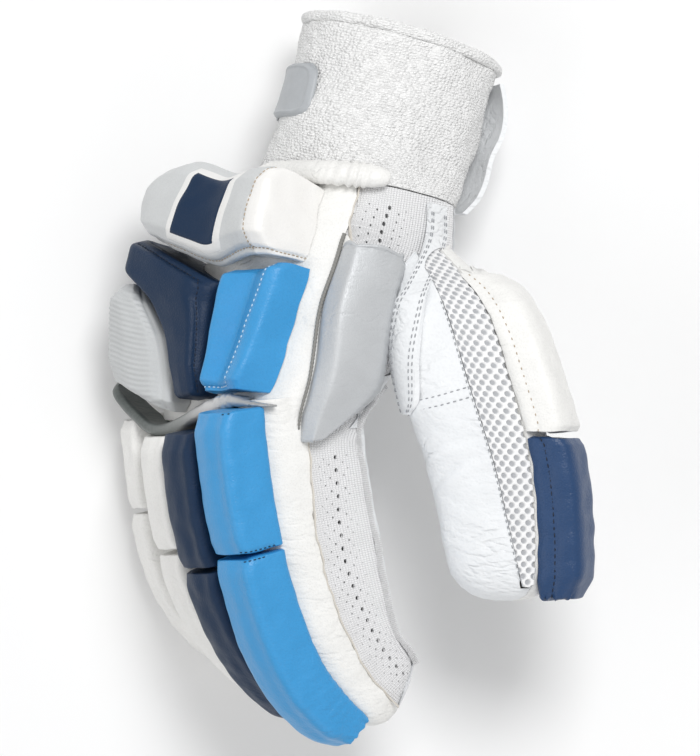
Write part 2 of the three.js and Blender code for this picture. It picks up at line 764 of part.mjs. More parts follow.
const SIDE_BAR_ROWS = [
  [0.68, 150, 154, 168, 174],
  [0.65, 150, 154, 171, 178],
  [0.4, 156, 160, 180, 188],
  [0.15, 165, 170, 188, 197],
  [0.02, 171, 176, 189, 195],
  [-0.09, 180, 182, 186, 189],
];
const sideBar = (clearance) =>
  plate(
    onHand,
    SIDE_BAR_ROWS.map(([at, ...angles]) => [at, ...angles.map((a) => a + 4 * clearance)]),
    -4,
    SIDE_BAR_HEIGHT + clearance,
    3.5 + clearance,
  );
add("side_bar", sideBar(0).subtract(around), SILVER, 0.35, 0.35);
const PIPING_ROWS = SIDE_BAR_ROWS.map(([at, first]) => [at, first - 4, first - 2.4, first - 0.8]);
add("side_bar_piping", plate(onHand, PIPING_ROWS, -2, 3.4, 1.6).subtract(around), PIPING, 0.5);

const ULNAR_BAR_ROWS = [
  [0.88, -40, -30, -10, 2],
  [0.83, -44, -34, -9, 4],
  [0.5, -44, -34, -9, 4],
  [0.2, -40, -30, -9, 4],
  [0.14, -36, -28, -10, 2],
];
const ulnarBar = plate(onHand, ULNAR_BAR_ROWS, -4, SIDE_BAR_HEIGHT, 3.5).subtract(around);
add("ulnar_bar", ulnarBar, SILVER, 0.35, 0.35);

// Pads on the back of the thumb, each between lines across the glove.
const thumb = (at) => thumbSection(at);
const whiteThumbPad = [
  [0.085, -10, 11, THUMB_PAD_HEIGHT * 0.6],
  [0.12, -10.5, 12.5, THUMB_PAD_HEIGHT],
  [0.17, -11, 13, THUMB_PAD_HEIGHT],
  [0.3, -12.5, 13.5, THUMB_PAD_HEIGHT],
  [0.45, -12.5, 14, THUMB_PAD_HEIGHT],
  [0.475, -12.5, 14, THUMB_PAD_HEIGHT * 0.8],
];
add("thumb_pad_white", roll(thumb, whiteThumbPad, 3.5, 0.35), WHITE, 0.5);
const navyThumbPad = [
  [0.49, -12.5, 14, THUMB_PAD_HEIGHT * 0.8],
  [0.515, -12.5, 14, THUMB_PAD_HEIGHT],
  [0.75, -12.5, 13.5, THUMB_PAD_HEIGHT],
  [0.93, -12.5, 12.5, THUMB_PAD_HEIGHT],
  [1.0, -10, 10.5, THUMB_PAD_HEIGHT * 0.6],
];
add("thumb_pad_navy", roll(thumb, navyThumbPad, 3.5, 0.35), DEEP_BLUE, 0.45);

// The strap that webs the thumb to the heel of the hand. A row crosses it at three angles, on
// the hand at first and then over the root of the thumb.
const STRAP_ROWS = [
  [onHand, 0.97, 183, 189, 195],
  [onHand, 0.8, 185, 191, 198],
  [onThumb, 0.12, 200, 184, 168],
  [onThumb, 0.17, 226, 207, 190],
  [onThumb, 0.27, 250, 232, 214],
  [onThumb, 0.38, 256, 242, 228],
  [onThumb, 0.42, 258, 250, 242],
];
const strapGrid = (height) =>
  STRAP_ROWS.map(([point, at, ...angles]) => angles.map((angle) => point(at, angle, height)));
const strap = solid(slab(strapGrid(0.6 + LEATHER), strapGrid(0.6))).subtract(around);
add("thumb_strap", strap.subtract(sideBar(SEAM_GAP)), LEATHER_WHITE, 0.6);

// The towelling wristband, butted to the wrist rim, and the hem round its mouth.
const rimShare = (millimetres) => 1 + millimetres / HAND_LENGTH;
const BAND_COUNT = 16;
const rimRing = (at, grow) => {
  const s = handSection(at, grow);
  return ring(s, s.halfWidth, s.halfDepth, s.square, BAND_COUNT);
};
const bandRing = (at, grow) => {
  const s = bandSection(at, grow);
  return ring(s, s.halfWidth, s.halfDepth, s.square, BAND_COUNT);
};
const bandForm = (from, shares, grow) =>
  solid(loft([...from.map((at) => rimRing(at, grow)), ...shares.map((at) => bandRing(at, grow))]));
const bandOuter = bandForm([rimShare(0.6)], [0.3, 0.6, 0.965], 0);
const bandInner = bandForm([rimShare(-6)], [0.3, 0.6, 1.1], -TOWELLING);
add("wristband", bandOuter.subtract(bandInner).subtract(floor), TOWEL, 1);
const hem = solid(loft([0.972, 1.01, 1.045].map((at) => bandRing(at, at === 1.01 ? 1 : 0))));
add("wristband_hem", hem.subtract(bandInner).subtract(floor), TOWEL, 1);

const onBand = (at, angle, height) => {
  const s = bandSection(at, height);
  return onOutline(s, s.halfWidth, s.halfDepth, s.square, angle);
};
const aroundBand = bandForm([rimShare(0)], [0.3, 0.6, 1.1], SEAM_GAP);
const BADGE_ROWS = [
  [0.67, 46, 58, 74, 84],
  [0.61, 40, 55, 76, 92],
  [0.35, 40, 55, 76, 94],
  [0.29, 46, 58, 74, 86],
];
const badge = plate(onBand, BADGE_ROWS, -1, 2.6, 1.6).subtract(aroundBand);
add("wristband_badge", badge, GREY, 0.4);

// The closure tab lies on the palm side of the wristband and lifts off along its free edge.
const TAB_ROWS = [
  [0.93, 1.2],
  [0.72, 6.5],
  [0.4, 5.5],
  [0.2, 6],
  [0.06, 2.5],
];
const tabGrid = (height) =>
  TAB_ROWS.map(([at, lift]) => [
    onBand(at, 232, height + lift),
    onBand(at, 243, height + lift * 0.6),
    onBand(at, 258, height + lift * 0.15),
    onBand(at, 285, height),
  ]);
const tab = solid(slab(tabGrid(0.6 + LEATHER), tabGrid(0.6))).subtract(aroundBand);
add("closure_tab", tab.subtract(around), LEATHER_WHITE, 0.55);

// The padded leather rim round the back of the wrist opening, outside the wristband.
const RIM_RADIUS = 5.2;
const RIM_ANGLES = [62, 74, 86, 98, 112, 128, 142, 156];
function rimForm(grow) {
  const rings = RIM_ANGLES.map((angle, i) => {
    const end = i === 0 || i === RIM_ANGLES.length - 1;
    const centre = onHand(rimShare(2.6), angle, 3.2);
    const out = onHand(rimShare(2.6), angle, 6).sub(centre).normalize();
    const ahead = onHand(rimShare(6), angle, 3.2).sub(centre).normalize();
    const radius = (end ? RIM_RADIUS * 0.45 : RIM_RADIUS) + grow;
    return Array.from({ length: 8 }, (_, k) => {
      const turn = (k / 8) * 2 * Math.PI;
      return centre
        .clone()
        .addScaledVector(out, radius * Math.cos(turn))
        .addScaledVector(ahead, radius * Math.sin(turn));
    });
  });
  return solid(loft(rings));
}
add("wrist_rim", rimForm(0).subtract(aroundBand).subtract(around), LEATHER_WHITE, 0.6);

const wristRoll = quilt(
  hand,
  WRIST_ROWS.map(([share, sunk]) => wristRow(share, sunk)),
  0.2,
);
add("wrist_roll", wristRoll.subtract(rimForm(SEAM_GAP)).subtract(aroundBand), CREAM, 0.5);

// The part stands on the floor, with its origin at the middle of its footprint.
const box = new THREE.Box3().setFromObject(group);
const middle = box.getCenter(new THREE.Vector3());
group.position.set(-middle.x, -middle.y, -box.min.z);

export default group;
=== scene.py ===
"""Dresses a right-hand cricket batting glove that lies on its little-finger side.

Lengths are millimetres in the glove's own frame until a mesh is made: +Y runs from the
fingertips to the wristband, +X towards the palm and +Z up to the thumb side.
"""

import logging
import math
from abc import ABC, abstractmethod
from dataclasses import dataclass
from enum import Enum
from typing import Callable, Sequence

import bpy
import numpy as np
from mathutils.kdtree import KDTree
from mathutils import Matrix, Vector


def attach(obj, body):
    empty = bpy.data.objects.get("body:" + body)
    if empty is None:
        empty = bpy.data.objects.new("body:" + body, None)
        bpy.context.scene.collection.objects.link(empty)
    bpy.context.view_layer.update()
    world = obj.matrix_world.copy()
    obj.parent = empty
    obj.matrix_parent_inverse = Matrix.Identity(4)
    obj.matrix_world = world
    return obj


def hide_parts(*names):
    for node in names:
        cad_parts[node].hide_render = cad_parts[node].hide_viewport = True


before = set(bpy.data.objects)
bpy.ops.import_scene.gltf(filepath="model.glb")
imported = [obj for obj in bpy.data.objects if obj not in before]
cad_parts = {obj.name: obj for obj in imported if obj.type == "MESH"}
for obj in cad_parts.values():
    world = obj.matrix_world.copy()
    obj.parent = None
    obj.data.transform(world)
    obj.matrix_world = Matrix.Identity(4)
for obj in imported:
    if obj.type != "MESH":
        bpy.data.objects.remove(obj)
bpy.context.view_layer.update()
LOG = logging.getLogger("glove")

Array = np.ndarray
Colour = tuple[float, float, float]

MM = 0.001
FRAME_SHIFT = (0.548, 0.175, 0.0)  # from the form's own axes to the middle of the footprint
ROOT = "root"

# Driving sizes, as in the solids.
HAND_LENGTH, HAND_WIDTH, HAND_DEPTH = 87.0, 100.0, 50.0
FINGER_LENGTH, STALL_WIDTH, STALL_DEPTH = 122.0, 23.5, 50.0
THUMB_LENGTH, THUMB_WIDTH, THUMB_DEPTH = 129.0, 51.0, 31.0
BAND_LENGTH, BAND_WIDTH, BAND_DEPTH = 66.0, 75.0, 74.0
LEATHER, TOWELLING, SEAM_GAP = 1.8, 3.6, 0.35
ROLL_HEIGHT, ROLL_WIDTH, ROLL_GAP = 18.0, 24.8, 3.0
BACK_PAD_HEIGHT, WRIST_ROLL_HEIGHT, THUMB_PAD_HEIGHT = 16.0, 22.0, 13.0
SIDE_BAR_HEIGHT = 9.0
KNIT_DEPTH = 0.7  # how far the knit lies below the leather beside it
FLOOR_HALF, FLOOR_DEPTH = 450.0, 200.0  # block under the glove that cuts it off at the floor

LEATHER_EDGE, PAD_EDGE, CLOTH_EDGE = 42.0, 60.0, 80.0  # degrees past which an edge stays crisp


def radial(angle: Array | float) -> tuple[Array, Array]:
    """Cosine and sine of an angle in degrees."""
    turn = np.radians(angle)
    return np.cos(turn), np.sin(turn)


def unit(vectors: Array) -> Array:
    """The vectors at length one."""
    return vectors / np.maximum(np.linalg.norm(vectors, axis=-1, keepdims=True), 1e-9)


def blur(values: Array, sigma: float, axis: int, wrap: bool) -> Array:
    """Smooths an array of points along one axis.

    Args:
        values: The points.
        sigma: Spread of the smoothing, in points.
        axis: The axis to smooth along.
        wrap: True where the axis closes on itself.

    Returns:
        The smoothed points, with open ends kept in place.
    """
    if sigma <= 0:
        return values
    reach = max(1, int(round(3 * sigma)))
    kernel = np.exp(-0.5 * (np.arange(-reach, reach + 1) / sigma) ** 2)
    kernel /= kernel.sum()
    moved = np.moveaxis(values, axis, 0)
    if wrap:
        padded = np.concatenate([moved[-reach:], moved, moved[:reach]])
    else:
        before = 2 * moved[0] - moved[reach:0:-1]
        after = 2 * moved[-1] - moved[-2 : -reach - 2 : -1]
        padded = np.concatenate([before, moved, after])
    out = sum(k * padded[i : i + len(moved)] for i, k in enumerate(kernel))
    return np.moveaxis(out, 0, axis)


def hump(where: Array, middle: Array | float, spread: Array | float) -> Array:
    """A soft bump of height one round a middle."""
    return np.exp(-(((where - middle) / spread) ** 2))


def grid(down: Array, over: Array) -> list[Array]:
    """Two rows of values as the two coordinates of a grid."""
    return np.meshgrid(down, over, indexing="ij")


def travelled(line: Array) -> Array:
    """Distance along a line at each of its points."""
    return np.concatenate([[0], np.cumsum(np.linalg.norm(np.diff(line, axis=0), axis=1))])


def resampled(line: Array, places: Array, wanted: Array | float) -> Array:
    """Points of a line at wanted places between its own."""
    return np.stack([np.interp(wanted, places, line[:, k]) for k in range(3)], -1)


def placed(name: str, data: bpy.types.ID) -> bpy.types.Object:
    """A new object of some data, linked to the scene."""
    made = bpy.data.objects.new(name, data)
    bpy.context.scene.collection.objects.link(made)
    return made


class Table:
    """Rows of named columns, read smoothly between the rows."""

    def __init__(self, columns: str, rows: Sequence[Sequence[float]]) -> None:
        """Stores the rows in rising order of their first column.

        Args:
            columns: Names of the columns, the first being the place along the table.
            rows: The rows.
        """
        data = np.array(rows, float)
        data = data[np.argsort(data[:, 0])]
        self.places = data[:, 0]
        self._columns = dict(zip(columns.split(), data.T))

    def at(self, column: str, where: Array | float) -> Array:
        """A column's value at places along the table, on a smooth curve through the rows."""
        x, v = self.places, self._columns[column]
        ends = (v[1] - v[0]) / (x[1] - x[0]), (v[-1] - v[-2]) / (x[-1] - x[-2])
        slope = np.concatenate([[ends[0]], (v[2:] - v[:-2]) / (x[2:] - x[:-2]), [ends[1]]])
        where = np.asarray(where, float)
        i = np.clip(np.searchsorted(x, where) - 1, 0, len(x) - 2)
        span = x[i + 1] - x[i]
        s = (where - x[i]) / span
        curve = (
            v[i] * (2 * s**3 - 3 * s**2 + 1)
            + slope[i] * span * (s**3 - 2 * s**2 + s)
            + v[i + 1] * (3 * s**2 - 2 * s**3)
            + slope[i + 1] * span * (s**3 - s**2)
        )
        return np.where((s < 0) | (s > 1), v[i] + (v[i + 1] - v[i]) * s, curve)

    def between(self, first: str, last: str, where: Array, share: Array) -> Array:
        """Values at shares of the way from one column to another."""
        return self.at(first, where) * (1 - share) + self.at(last, where) * share


@dataclass
class Sections:
    """Rounded-square cross-sections of a form, one for each place asked for."""

    centre: Array
    across: Array
    back: Array
    half_width: Array
    half_depth: Array
    square: Array

    def place(self, across: Array, back: Array) -> Array:
        """Points at distances across the section and out of its back."""
        across, back = np.asarray(across, float), np.asarray(back, float)
        return self.centre + across[..., None] * self.across + back[..., None] * self.back

    def outline(self, angle: Array) -> Array:
        """Points of the outline at polar angles: across is 0 and the back is 90 degrees."""
        c, s = radial(angle)
        terms = np.abs(c / self.half_width) ** self.square
        terms = terms + np.abs(s / self.half_depth) ** self.square
        reach = terms ** (-1 / self.square)
        return self.place(reach * c, reach * s)

    def flank(self, share: Array) -> Array:
        """Points on the thumb side of the outline, at a share of half the depth."""
        side = (1 - np.abs(share) ** self.square) ** (1 / self.square)
        return self.place(-self.half_width * side, self.half_depth * share)


class Form(ABC):
    """A tapering body that the panels and pads of the glove lie on."""

    @abstractmethod
    def sections(self, at: Array, grow: Array | float = 0.0) -> Sections:
        """Sections at places along the form, grown outwards by a height."""

    def surface(self, at: Array, angle: Array, height: Array | float = 0.0) -> Array:
        """Points above the form's surface, by place along it and polar angle."""
        return self.sections(np.asarray(at, float), height).outline(angle)

    def deck(self, at: Array, across: Array, height: Array | float) -> Array:
        """Points above the level of the form's back, by place and distance across it."""
        s = self.sections(np.asarray(at, float))
        return s.place(across, s.half_depth + height)

    def flank(self, at: Array, share: Array | float, height: Array | float = 0.0) -> Array:
        """Points on the form's thumb side, by place and share of half its depth."""
        return self.sections(np.asarray(at, float), height).flank(share)

    def rings(self, at: Array, count: int, grow: float = 0.0, shrink: Array | None = None) -> Array:
        """Closed outlines as rings of points, closer together round the corners."""
        s = self.sections(np.asarray(at, float), grow)
        c, d = radial((np.arange(count) + 0.5) / count * 360)
        power = 2 / np.asarray(s.square, float).reshape(-1, 1)
        scale = np.ones(len(at)) if shrink is None else shrink
        wide = (s.half_width * scale)[:, None] * np.sign(c) * np.abs(c) ** power
        deep = (s.half_depth * scale)[:, None] * np.sign(d) * np.abs(d) ** power
        return (
            s.centre[:, None]
            + wide[..., None] * s.across[:, None]
            + deep[..., None] * s.back[:, None]
        )


def turned(roll: Array, heading: Array) -> tuple[Array, Array]:
    """Unit vectors across a section and out of its back, from its roll and heading in degrees."""
    roll, heading = np.broadcast_arrays(np.asarray(roll, float), np.asarray(heading, float))
    c, s = radial(roll)
    zero = np.zeros_like(c)
    ahead, rise = radial(heading)
    across = np.stack([-s, zero, -c], -1)
    back = np.stack([-c * ahead, -rise, s * ahead], -1)
    return across, back


class HandForm(Form):
    """The hand, from the wrist rim at 1 to the finger crotches at 0."""

    TABLE = Table(
        "at side along up half_width half_depth roll heading square",
        [
            [1.0, 0.01, 0.81, 0.455, 0.42, 0.66, 40, -11, 2.6],
            [0.7, -0.07, 0.53, 0.47, 0.455, 0.77, 41, -13, 2.8],
            [0.42, -0.21, 0.25, 0.525, 0.48, 0.62, 40, -15, 3.1],
            [0.16, -0.29, -0.03, 0.535, 0.495, 0.54, 34, -10, 3.3],
            [0.0, -0.375, -0.2, 0.53, 0.495, 0.5, 29, 0, 3.5],
        ],
    )

    def sections(self, at: Array, grow: Array | float = 0.0) -> Sections:
        """Sections of the hand at shares of its length."""
        get = lambda column: self.TABLE.at(column, at)
        centre = np.stack(
            [get("side") * HAND_WIDTH, get("along") * HAND_LENGTH, get("up") * HAND_WIDTH], -1
        )
        across, back = turned(get("roll"), get("heading"))
        half_width = get("half_width") * HAND_WIDTH + grow
        half_depth = get("half_depth") * HAND_DEPTH + grow
        return Sections(centre, across, back, half_width, half_depth, get("square"))


class FingerForm(Form):
    """One finger stall, from the knuckle at 0 to the tip at 1."""

    BENDS = (0.0, 0.41, 0.7, 1.0)
    TAPER = Table(
        "at width depth",
        [
            [-0.1, 1.0, 1.0],
            [0.4, 1.0, 0.99],
            [0.57, 1.0, 0.95],
            [0.72, 0.98, 0.87],
            [0.87, 0.94, 0.77],
            [1.0, 0.88, 0.7],
        ],
    )
    SQUARE = 3.0
    STEPS = 300

    def __init__(self, name: str, row: Sequence[float]) -> None:
        """Works out the finger's centre line from its headings.

        Args:
            name: The finger's name.
            row: side, along, up, length, width, depth, roll and the four bends.
        """
        self.name = name
        side, along, up, self.length, self.width, self.depth, self.roll = row[:7]
        self.bends = Table("at heading", list(zip(self.BENDS, row[7:])))
        knuckle = np.array([side * HAND_WIDTH, along * HAND_LENGTH, up * HAND_WIDTH])
        self.reach = self.length * FINGER_LENGTH
        self.places = np.linspace(-0.2, 1.3, self.STEPS + 1)
        middle = (self.places[1:] + self.places[:-1]) / 2
        ahead, rise = radial(self.heading(middle))
        palm = -turned(self.roll, 0.0)[1]
        down = np.array([0.0, -1.0, 0.0])
        steps = (ahead[:, None] * down + rise[:, None] * palm) * self.reach
        steps *= self.places[1] - self.places[0]
        line = np.concatenate([np.zeros((1, 3)), np.cumsum(steps, axis=0)])
        self.line = line - resampled(line, self.places, 0.0) + knuckle

    def heading(self, at: Array) -> Array:
        """The finger's heading in degrees at places along it."""
        return self.bends.at("heading", np.maximum(at, 0) * self.length)

    def sections(self, at: Array, grow: Array | float = 0.0) -> Sections:
        """Sections of the stall at shares of its length."""
        centre = resampled(self.line, self.places, at)
        across, back = turned(self.roll, self.heading(np.minimum(at, 1.1)))
        held = np.minimum(at, 1)
        half_width = self.TAPER.at("width", held) * self.width * STALL_WIDTH / 2 + grow
        half_depth = self.TAPER.at("depth", held) * self.depth * STALL_DEPTH / 2 + grow
        square = np.full(np.shape(at), self.SQUARE)
        return Sections(centre, across, back, half_width, half_depth, square)


class PathForm(Form):
    """A form whose sections follow a centre line of table rows."""

    def __init__(
        self, table: Table, length: float, width: float, depth: float, roll: float, square: float,
        level: bool,
    ) -> None:
        """Stores the line and the sizes.

        Args:
            table: at, side, along, up, width and depth, as shares.
            length: Size that the centre line's shares follow.
            width: Size out of the back and the palm.
            depth: Size across.
            roll: Degrees that the back faces up from +X.
            square: Power of the rounded square.
            level: True where each section lies in a plane across the glove.
        """
        self.table, self.length, self.width, self.depth = table, length, width, depth
        self.roll, self.square, self.level = roll, square, level

    def centre(self, at: Array) -> Array:
        """Points of the centre line."""
        return np.stack([self.table.at(c, at) for c in ("side", "along", "up")], -1) * self.length

    def sections(self, at: Array, grow: Array | float = 0.0) -> Sections:
        """Sections at shares of the form's length."""
        at = np.asarray(at, float)
        ahead = unit(self.centre(at + 0.02) - self.centre(at - 0.02))
        if self.level:
            ahead = np.broadcast_to([0.0, -1.0, 0.0], ahead.shape)
        c, s = radial(self.roll)
        wanted = np.array([c, 0.0, s])
        back = unit(wanted - ahead * (ahead @ wanted)[..., None])
        across = np.cross(ahead, back)
        across = np.where(across[..., 2:] > 0, -across, across)
        held = np.minimum(at, 1)
        half_width = self.table.at("depth", held) * self.depth / 2 + grow
        half_depth = self.table.at("width", held) * self.width / 2 + grow
        square = np.full(np.shape(at), self.square)
        return Sections(self.centre(at), across, back, half_width, half_depth, square)


HAND = HandForm()
FINGERS = [
    FingerForm("index", [-0.202, -0.126, 0.865, 1.05, 1.0, 1.0, 30, 5.8, 13, 21, 55]),
    FingerForm("middle", [-0.332, -0.17, 0.65, 0.94, 1.0, 1.0, 26, 4.7, 15, 31, 54]),
    FingerForm("ring", [-0.431, -0.1, 0.405, 0.92, 1.0, 0.96, 20, 5.8, 12, 36, 50]),
    FingerForm("little", [-0.532, -0.03, 0.155, 0.86, 0.96, 0.9, 10, 10, 7, 36, 50]),
]
INDEX = FINGERS[0]
THUMB = PathForm(
    Table(
        "at side along up width depth",
        [
            [0.0, 0.15, 0.42, 0.46, 0.6, 0.8],
            [0.16, 0.275, 0.22, 0.63, 0.88, 1.0],
            [0.34, 0.345, -0.03, 0.69, 1.02, 1.04],
            [0.56, 0.41, -0.25, 0.7, 0.97, 1.0],
            [0.78, 0.445, -0.46, 0.69, 0.9, 0.94],
            [1.0, 0.465, -0.675, 0.68, 0.8, 0.84],
        ],
    ),
    THUMB_LENGTH, THUMB_WIDTH, THUMB_DEPTH, 18.0, 2.6, True,
)
BAND = PathForm(
    Table(
        "at side along up width depth",
        [
            [0.0, 0.05, 1.106, 0.68, 0.98, 0.98],
            [0.34, 0.14, 1.4, 0.645, 1.01, 1.01],
            [0.68, 0.225, 1.69, 0.605, 1.02, 1.0],
            [1.0, 0.3, 1.97, 0.57, 1.03, 1.0],
        ],
    ),
    BAND_LENGTH, BAND_WIDTH, BAND_DEPTH, 140.0, 2.2, False,
)


def ripple(points: Array, size: float, seed: int) -> Array:
    """Soft seeded unevenness between about -1 and 1.

    Args:
        points: Where, in millimetres.
        size: Distance between one hump and the next.
        seed: Seed of the waves.

    Returns:
        One value for each point.
    """
    draw = np.random.default_rng(seed)
    total = np.zeros(points.shape[:-1])
    for _ in range(9):
        way = unit(draw.normal(size=3)) * (2 * math.pi / size) * draw.uniform(0.6, 1.6)
        total += np.sin(points @ way + draw.uniform(0, 6.3))
    return total / 3.5


def ring_faces(rows: int, columns: int) -> Array:
    """Quads between neighbouring closed rings."""
    r, c = grid(np.arange(rows - 1), np.arange(columns))
    a, b = r * columns + c, r * columns + (c + 1) % columns
    return np.stack([a, b, b + columns, a + columns], -1).reshape(-1, 4)


class Solid:
    """A mesh in the making: points in millimetres, quads and triangles."""

    def __init__(self, points: Array, quads: Array, triangles: Array | None = None) -> None:
        """Turns the faces outwards.

        Args:
            points: The vertices.
            quads: Faces of four.
            triangles: Faces of three.
        """
        self.points = np.asarray(points, float).reshape(-1, 3)
        self.quads = np.asarray(quads, int).reshape(-1, 4)
        self.triangles = np.zeros((0, 3), int) if triangles is None else np.asarray(triangles, int)
        p = self.points
        parts = [self.quads[:, [0, 1, 2]], self.quads[:, [0, 2, 3]], self.triangles]
        a, b, c = (p[np.concatenate(parts)[:, k]] for k in range(3))
        if np.einsum("ij,ij->", a, np.cross(b, c)) < 0:
            self.quads, self.triangles = self.quads[:, ::-1], self.triangles[:, ::-1]

    @classmethod
    def loft(cls, rings: Array) -> "Solid":
        """A solid over rings of points, its two ends closed by fans."""
        rows, columns = rings.shape[:2]
        hubs = [rings[0].mean(0), rings[-1].mean(0)]
        points = np.concatenate([rings.reshape(-1, 3), hubs])
        i = np.arange(columns)
        j = (i + 1) % columns
        first, last = np.full(columns, rows * columns), np.full(columns, rows * columns + 1)
        tail = (rows - 1) * columns
        fans = [np.stack([first, j, i], -1), np.stack([last, tail + i, tail + j], -1)]
        return cls(points, ring_faces(rows, columns), np.concatenate(fans))

    @classmethod
    def slab(cls, top: Array, bottom: Array) -> "Solid":
        """A solid between two grids of the same size."""
        rows, columns = top.shape[:2]
        under = rows * columns
        r, c = grid(np.arange(rows - 1), np.arange(columns - 1))
        a = (r * columns + c).ravel()
        upper = np.stack([a, a + 1, a + columns + 1, a + columns], -1)
        rim = np.concatenate([
            np.arange(columns - 1),
            np.arange(rows - 1) * columns + columns - 1,
            (rows - 1) * columns + np.arange(columns - 1, 0, -1),
            np.arange(rows - 1, 0, -1) * columns,
        ])
        after = np.roll(rim, -1)
        wall = np.stack([rim, rim + under, after + under, after], -1)
        points = np.concatenate([top.reshape(-1, 3), bottom.reshape(-1, 3)])
        return cls(points, np.concatenate([upper, upper[:, ::-1] + under, wall]))

    @classmethod
    def joined(cls, solids: Sequence["Solid"]) -> "Solid":
        """Several separate solids in one mesh."""
        points, quads, triangles, start = [], [], [], 0
        for one in solids:
            points.append(one.points)
            quads.append(one.quads + start)
            triangles.append(one.triangles + start)
            start += len(one.points)
        return cls(np.concatenate(points), np.concatenate(quads), np.concatenate(triangles))

    def object(self, name: str) -> bpy.types.Object:
        """The solid as a Blender object in the part's frame, in metres."""
        mesh = bpy.data.meshes.new(name)
        points = (self.points + np.array(FRAME_SHIFT)) * MM
        loops = np.concatenate([self.quads.ravel(), self.triangles.ravel()])
        sizes = np.concatenate([np.full(len(self.quads), 4), np.full(len(self.triangles), 3)])
        mesh.vertices.add(len(points))
        mesh.vertices.foreach_set("co", points.astype(np.float32).ravel())
        mesh.loops.add(len(loops))
        mesh.loops.foreach_set("vertex_index", loops.astype(np.int32))
        mesh.polygons.add(len(sizes))
        starts = np.concatenate([[0], np.cumsum(sizes)[:-1]])
        mesh.polygons.foreach_set("loop_start", starts.astype(np.int32))
        mesh.update(calc_edges=True)
        return placed(name, mesh)


def tube(path: Array, radius: Array | float, count: int = 10) -> Solid:
    """A round cord along a path, closed at both ends.

    Args:
        path: Points along the middle.
        radius: One radius, or one for each point.
        count: Points round it.

    Returns:
        The cord's solid.
    """
    ahead = unit(np.gradient(path, axis=0))
    side = unit(np.cross(ahead, np.array([0.13, 0.21, 0.97])))
    out = np.cross(ahead, side)
    c, s = radial(np.arange(count) / count * 360)
    radii = np.broadcast_to(radius, len(path))[:, None, None]
    turn = c[None, :, None] * side[:, None] + s[None, :, None] * out[:, None]
    return Solid.loft(path[:, None] + radii * turn)


class Cut(Enum):
    """How one solid changes another."""

    ADD = "UNION"
    TAKE = "DIFFERENCE"
    KEEP = "INTERSECT"


def cut(target: bpy.types.Object, how: Cut, *others: bpy.types.Object) -> bpy.types.Object:
    """Joins or cuts a target by other objects, one after another, and leaves those as they are.

    Args:
        target: The object that changes.
        how: The kind of cut.
        others: What it is joined to or cut by.

    Returns:
        The target.
    """
    for other in others:
        modifier = target.modifiers.new("cut", "BOOLEAN")
        modifier.object, modifier.operation, modifier.solver = other, how.value, "MANIFOLD"
        settled(target)
    return target


def settled(target: bpy.types.Object) -> bpy.types.Object:
    """Turns an object's modifiers into its mesh."""
    graph = bpy.context.evaluated_depsgraph_get()
    graph.update()
    mesh = bpy.data.meshes.new_from_object(target.evaluated_get(graph), depsgraph=graph)
    target.modifiers.clear()
    old = target.data
    target.data = mesh
    bpy.data.meshes.remove(old)
    return target


def copied(source: bpy.types.Object, name: str) -> bpy.types.Object:
    """A separate copy of an object and its mesh."""
    made = source.copy()
    made.data = source.data.copy()
    made.name = name
    bpy.context.scene.collection.objects.link(made)
    return made


def discard(*objects: bpy.types.Object) -> None:
    """Deletes helper objects."""
    for one in objects:
        bpy.data.objects.remove(one, do_unlink=True)


def spots(target: bpy.types.Object) -> Array:
    """An object's vertices in millimetres in the glove's own frame."""
    flat = np.empty(len(target.data.vertices) * 3, np.float32)
    target.data.vertices.foreach_get("co", flat)
    return flat.reshape(-1, 3).astype(float) / MM - np.array(FRAME_SHIFT)


def nearest(target: bpy.types.Object, points: Array, values: Array) -> Array:
    """For each vertex of an object, the value of the nearest of some points.

    Args:
        target: The object.
        points: The points, in millimetres.
        values: One value for each.

    Returns:
        One value for each vertex.
    """
    tree = KDTree(len(points))
    for index, point in enumerate(points):
        tree.insert(point, index)
    tree.balance()
    return values[[tree.find(point)[1] for point in spots(target)]]


def float_attribute(target: bpy.types.Object, name: str, values: Array) -> None:
    """Stores one number for each vertex."""
    layer = target.data.attributes.new(name, "FLOAT", "POINT")
    layer.data.foreach_set("value", np.asarray(values, np.float32))


def vector_attribute(target: bpy.types.Object, name: str, values: Array) -> None:
    """Stores one vector for each vertex."""
    layer = target.data.attributes.new(name, "FLOAT_VECTOR", "POINT")
    layer.data.foreach_set("vector", np.asarray(values, np.float32).ravel())


def smooth(target: bpy.types.Object, angle: float) -> None:
    """Shades an object smoothly, apart from edges sharper than an angle in degrees."""
    target.data.polygons.foreach_set("use_smooth", np.ones(len(target.data.polygons), bool))
    target.data.set_sharp_from_angle(angle=math.radians(angle))


